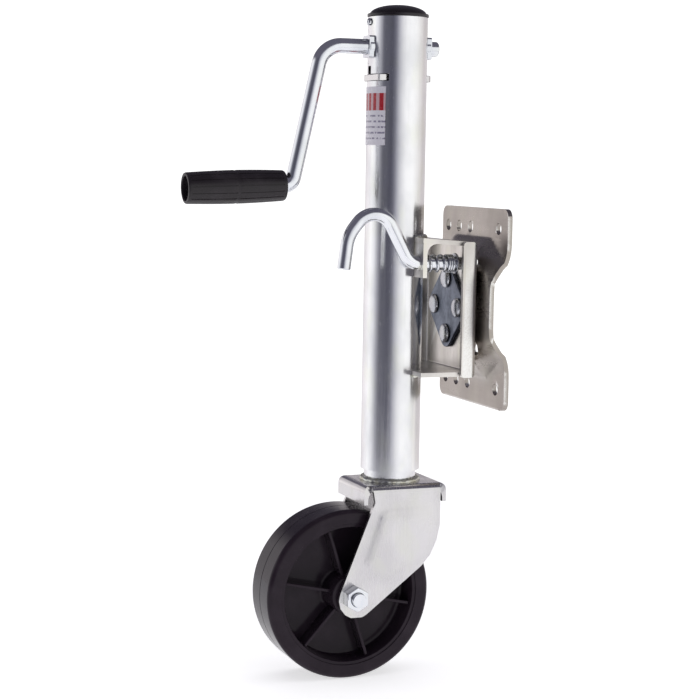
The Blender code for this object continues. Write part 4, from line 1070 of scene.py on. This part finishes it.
@dataclass
class CasterLeg:
    """The ram, the fork with its axle, and the wheel."""

    wheel_radius: float = 73.0
    wheel_half: float = 23.25
    shoulder: float = 4.6
    rim_inner: float = 58.0
    web: float = 3.5
    hub_radius: float = 17.0
    hub_half: float = 26.45
    bore: float = 8.9
    rib_count: int = 6
    rib_start_deg: float = 48.0
    rib_half: float = 2.1
    field: tuple[tuple[float, float], ...] = (
        (-21.0, -20.0), (25.0, -20.0), (27.0, -42.0), (14.0, -66.0), (-19.0, -85.0), (-37.0, -70.0)
    )
    field_margin: float = 1.17
    field_grid: float = 2.4
    field_merge: float = 0.35
    field_passes: int = 16

    def build(self) -> None:
        """Refine the ram, fork and axle, weld the fork to the ram, and turn the wheel."""
        dressed(refined("ram_tube", "drawn_ram_tube", 0.4), Finish.TUBE, "caster", "ram_tube")
        self.fork()
        dressed(refined("axle_nut", "axle_hex_nut", 0.5), Finish.BRIGHT, "caster", "axle_nut")
        dressed(refined("axle_bolt", "axle_hex_bolt", 0.5), Finish.BRIGHT, "caster", "axle_bolt")
        fork_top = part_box("caster_fork")[1].z / MM
        bead = weld_run("ram_foot_weld", at(0, 0, fork_top + 0.9), 23.6, 2.5)
        dressed(bead, Finish.WELD, "caster")
        self.wheel()

    def fork(self) -> None:
        """Refine the fork, with the field pressed into each leg running softly into the sheet."""
        piece = copied("caster_fork", "pressed_fork")
        low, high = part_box("caster_fork")
        top = high.z / MM
        outline = [at(x, 0.0, top + z) for x, z in self.field]
        middle = sum(outline, Vector()) / len(outline)
        outline = [middle + (corner - middle) * self.field_margin for corner in outline]
        edit()
        for axis in (0, 2):
            gridded(low, high, axis, self.field_grid)
        for side in (-1.0, 1.0):
            pick_faces(piece, lambda place, normal, side=side: self.in_field(place, normal, side, outline))
            bpy.ops.mesh.remove_doubles(threshold=self.field_merge * MM)
            bpy.ops.mesh.vertices_smooth(
                factor=0.5, repeat=self.field_passes, xaxis=False, yaxis=True, zaxis=False
            )
        bpy.ops.mesh.select_mode(type="VERT")
        edit(False)
        dressed(softened(piece, 0.7, 60.0), Finish.FORK, "caster", "caster_fork")

    def in_field(self, place: Vector, normal: Vector, side: float, outline: Sequence[Vector]) -> bool:
        """Whether a face lies on a leg's outer skin and within the outline of its pressed field."""
        return normal.y * side > 0.3 and place.y * side > 0.0 and inside(place, outline)

    def wheel(self) -> None:
        """Turn the wheel's body, then add its ribs."""
        low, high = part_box("wheel")
        centre = (low + high) / 2.0
        half, rim, web = self.wheel_half, self.rim_inner, self.web
        hub, cheek = self.hub_radius, self.hub_half
        side = [(self.bore, cheek), (hub - 1.8, cheek), (hub - 0.4, cheek - 0.6), (hub, cheek - 2.0)]
        side += [(hub + 0.8, web + 3.0), (hub + 1.9, web + 0.8), (hub + 4.0, web), (rim - 5.0, web)]
        side += [(rim - 2.6, web + 0.9), (rim - 1.6, web + 3.0), (rim - 0.2, half - 2.4), (rim + 0.4, half - 1.2)]
        side += [(rim + 2.8, half - 1.0), (rim + 3.2, half - 0.1), (rim + 3.8, half)]
        for k in range(9):
            angle = math.radians(90.0 - 11.25 * k)
            swing = self.wheel_radius - self.shoulder + self.shoulder * math.cos(angle)
            side.append((swing, half - self.shoulder + self.shoulder * math.sin(angle)))
        side += [(self.wheel_radius, 0.55), (self.wheel_radius - 0.35, 0.25)]
        profile = side + [(radius, -height) for radius, height in reversed(side)] + [side[0]]
        wheel = lathed("moulded_wheel_body", profile, centre, Vector((0, 1, 0)), 144)
        rib = self.rib(centre)
        ribs = []
        for k in range(self.rib_count):
            angle = math.radians(self.rib_start_deg) + math.tau * k / self.rib_count
            copy = bpy.data.objects.new(f"rib_{k}", rib.data.copy())
            bpy.context.scene.collection.objects.link(copy)
            turn = Matrix.Translation(centre) @ Matrix.Rotation(-angle, 4, "Y") @ Matrix.Translation(-centre)
            copy.data.transform(turn)
            ribs.append(copy)
        bpy.data.objects.remove(rib, do_unlink=True)
        take(wheel)
        for copy in ribs:
            copy.select_set(True)
        bpy.ops.object.join()
        dressed(softened(wheel, 0.0, 34.0), Finish.WHEEL, "wheel", "wheel")

    def rib(self, centre: Vector) -> bpy.types.Object:
        """Model one rib along +X: a block, drafted towards its two open edges and rounded.

        Args:
            centre: middle of the wheel.

        Returns:
            The rib.
        """
        inner, outer = self.hub_radius - 2.0, self.rim_inner - 0.6
        size = Vector((outer - inner, 2.0 * (self.wheel_half - 4.0), 2.0 * self.rib_half)) * MM
        place = centre + Vector(((inner + outer) / 2.0, 0.0, 0.0)) * MM
        bpy.ops.object.select_all(action="DESELECT")
        bpy.ops.mesh.primitive_cube_add(size=1.0, location=place, scale=size)
        piece = started("wheel_rib")
        for side in (-1.0, 1.0):
            pick_faces(piece, lambda middle, normal, side=side: normal.y * side > 0.9)
            bpy.ops.transform.resize(value=(1.0, 1.0, 0.62), center_override=place)
        bpy.ops.mesh.select_all(action="SELECT")
        bpy.ops.mesh.bevel(offset=0.7 * MM, segments=3, affect="EDGES")
        return tidied(piece)


@dataclass
class InnerWorks:
    """The gears, screw, nut and bearing inside the tube, which keep their CAD shapes."""

    steel: tuple[str, ...] = (
        "drive_pinion", "pinion_pin", "lead_screw", "screw_gear", "gear_pin", "thrust_bearing", "axle_sleeve",
    )
    bronze: tuple[str, ...] = ("lift_nut",)

    def build(self) -> None:
        """Dress each node in machined steel or bronze."""
        for names, finish in ((self.steel, Finish.MACHINED), (self.bronze, Finish.BRONZE)):
            for name in names:
                node = frame["nodes"][name]
                for slot in node.material_slots:
                    slot.material = finish.value.material()
                LOG.info("%s: %s", name, finish.value.name)


@dataclass
class Studio:
    """Camera, pale floor, a light tent with a dark flag and a dark roof, and a wide bank of lamps."""

    eye: Point = (-0.68367, -1.44938, 0.12368)
    right: Point = (0.93213, -0.36174, 0.01677)
    up: Point = (0.01719, 0.09046, 0.99575)
    lens: float = 94.2
    shift_y: float = -0.0320
    floor_z: float = -0.3170
    floor_radius: float = 0.95
    overhead: str = "#5e5c68"
    brightness: float = 1.22
    low_behind: float = 0.22
    roof_from: tuple[float, float] = (0.38, 0.54)
    lamp_strength: float = 0.9
    lamp_spread_deg: float = 70.0
    # Grey of the tent all round: from behind the object, past its left, the camera and its right, and back.
    tent: tuple[tuple[float, str], ...] = (
        (0.00, "#cdc8cb"), (0.15, "#f2eef0"), (0.22, "#fbfbfb"), (0.27, "#dcdce0"), (0.31, "#a0a0a8"),
        (0.35, "#5e5e68"), (0.45, "#4a4a56"), (0.485, "#6c6c78"), (0.52, "#b0b0b8"), (0.56, "#dcdcde"),
        (0.61, "#f6f6f6"), (0.70, "#f8f8f7"), (0.76, "#e6e4e2"), (0.84, "#cac4c4"), (1.00, "#cdc8cb"),
    )

    def build(self) -> None:
        """Set the camera, the floor, the tent and the lamp above."""
        self.camera()
        self.floor()
        self.surroundings()
        self.lamp()

    def camera(self) -> None:
        """A long lens a little above the wheel, tilted slightly down, with its frame shifted."""
        data = bpy.data.cameras.new("studio_camera")
        data.lens = self.lens
        data.sensor_width = 36.0
        data.shift_y = self.shift_y
        camera = bpy.data.objects.new("studio_camera", data)
        bpy.context.scene.collection.objects.link(camera)
        right, up = Vector(self.right), Vector(self.up)
        turn = Matrix((right, up, right.cross(up))).transposed().to_4x4()
        camera.matrix_world = Matrix.Translation(self.eye) @ turn
        bpy.context.scene.camera = camera
        bpy.context.scene.view_settings.view_transform = "Standard"

    def floor(self) -> None:
        """A wide disc of paper that the wheel stands on."""
        bpy.ops.object.select_all(action="DESELECT")
        bpy.ops.mesh.primitive_circle_add(
            vertices=96, radius=self.floor_radius, fill_type="NGON", location=(0.0, 0.0, self.floor_z)
        )
        floor = started("studio_floor")
        bpy.ops.mesh.inset(thickness=0.3)
        edit(False)
        floor.data.materials.append(Finish.PAPER.value.material())

    def surroundings(self) -> None:
        """The tent that metal reflects; the camera itself sees plain white."""
        world = bpy.data.worlds.new("light_tent")
        world.use_nodes = True
        bpy.context.scene.world = world
        tree = world.node_tree
        view = add_node(tree, "ShaderNodeTexCoord").outputs["Generated"]
        right = Vector((self.right[0], self.right[1], 0.0)).normalized()
        back = Vector((self.right[1], -self.right[0], 0.0)).normalized()
        across, towards = (
            add_node(tree, "ShaderNodeVectorMath", {0: view, 1: way}, operation="DOT_PRODUCT").outputs["Value"]
            for way in (right, back)
        )
        angle = worked(tree, "ARCTAN2", across, towards)
        place = worked(tree, "ADD", worked(tree, "DIVIDE", angle, math.tau), 0.5)
        wall = add_node(tree, "ShaderNodeValToRGB", {"Fac": place}, self.tent).outputs[0]
        level = worked(tree, "ABSOLUTE", add_node(tree, "ShaderNodeSeparateXYZ", {0: view}).outputs[2])
        behind = worked(tree, "MULTIPLY", worked(tree, "MINIMUM", towards, 0.0), -self.low_behind)
        height = worked(tree, "ADD", level, behind)
        lining = mixed(tree, ranged(tree, height, *self.roof_from, 0.0, 1.0), wall, linear(self.overhead))
        direct = add_node(tree, "ShaderNodeLightPath").outputs["Is Camera Ray"]
        seen = mixed(tree, direct, lining, linear("#ffffff"))
        tree.links.new(seen, tree.nodes["Background"].inputs["Color"])
        tree.nodes["Background"].inputs["Strength"].default_value = self.brightness

    def lamp(self) -> None:
        """Hang a far bank of lamps overhead, so that the whole floor is lit alike."""
        data = bpy.data.lights.new("overhead_bank", "SUN")
        data.energy = self.lamp_strength
        data.angle = math.radians(self.lamp_spread_deg)
        lamp = bpy.data.objects.new("overhead_bank", data)
        bpy.context.scene.collection.objects.link(lamp)
        lamp.location = (0.0, 0.0, 2.0)
        lamp.visible_glossy = False
        lamp.rotation_euler = (math.radians(-4.0), math.radians(3.0), 0.0)


def main() -> None:
    """Build the sub-assemblies in order and set the studio."""
    logging.basicConfig(level=logging.INFO, format="%(name)s: %(message)s")
    assemblies = (BeamMount, SwivelBracket, TubeHead, Crank, PlungerLock, CasterLeg, InnerWorks)
    for assembly in (kind() for kind in assemblies):
        LOG.info("building %s", type(assembly).__name__)
        assembly.build()
    Studio().build()
    bpy.ops.object.select_all(action="DESELECT")


if __name__ == "__main__":
    main()
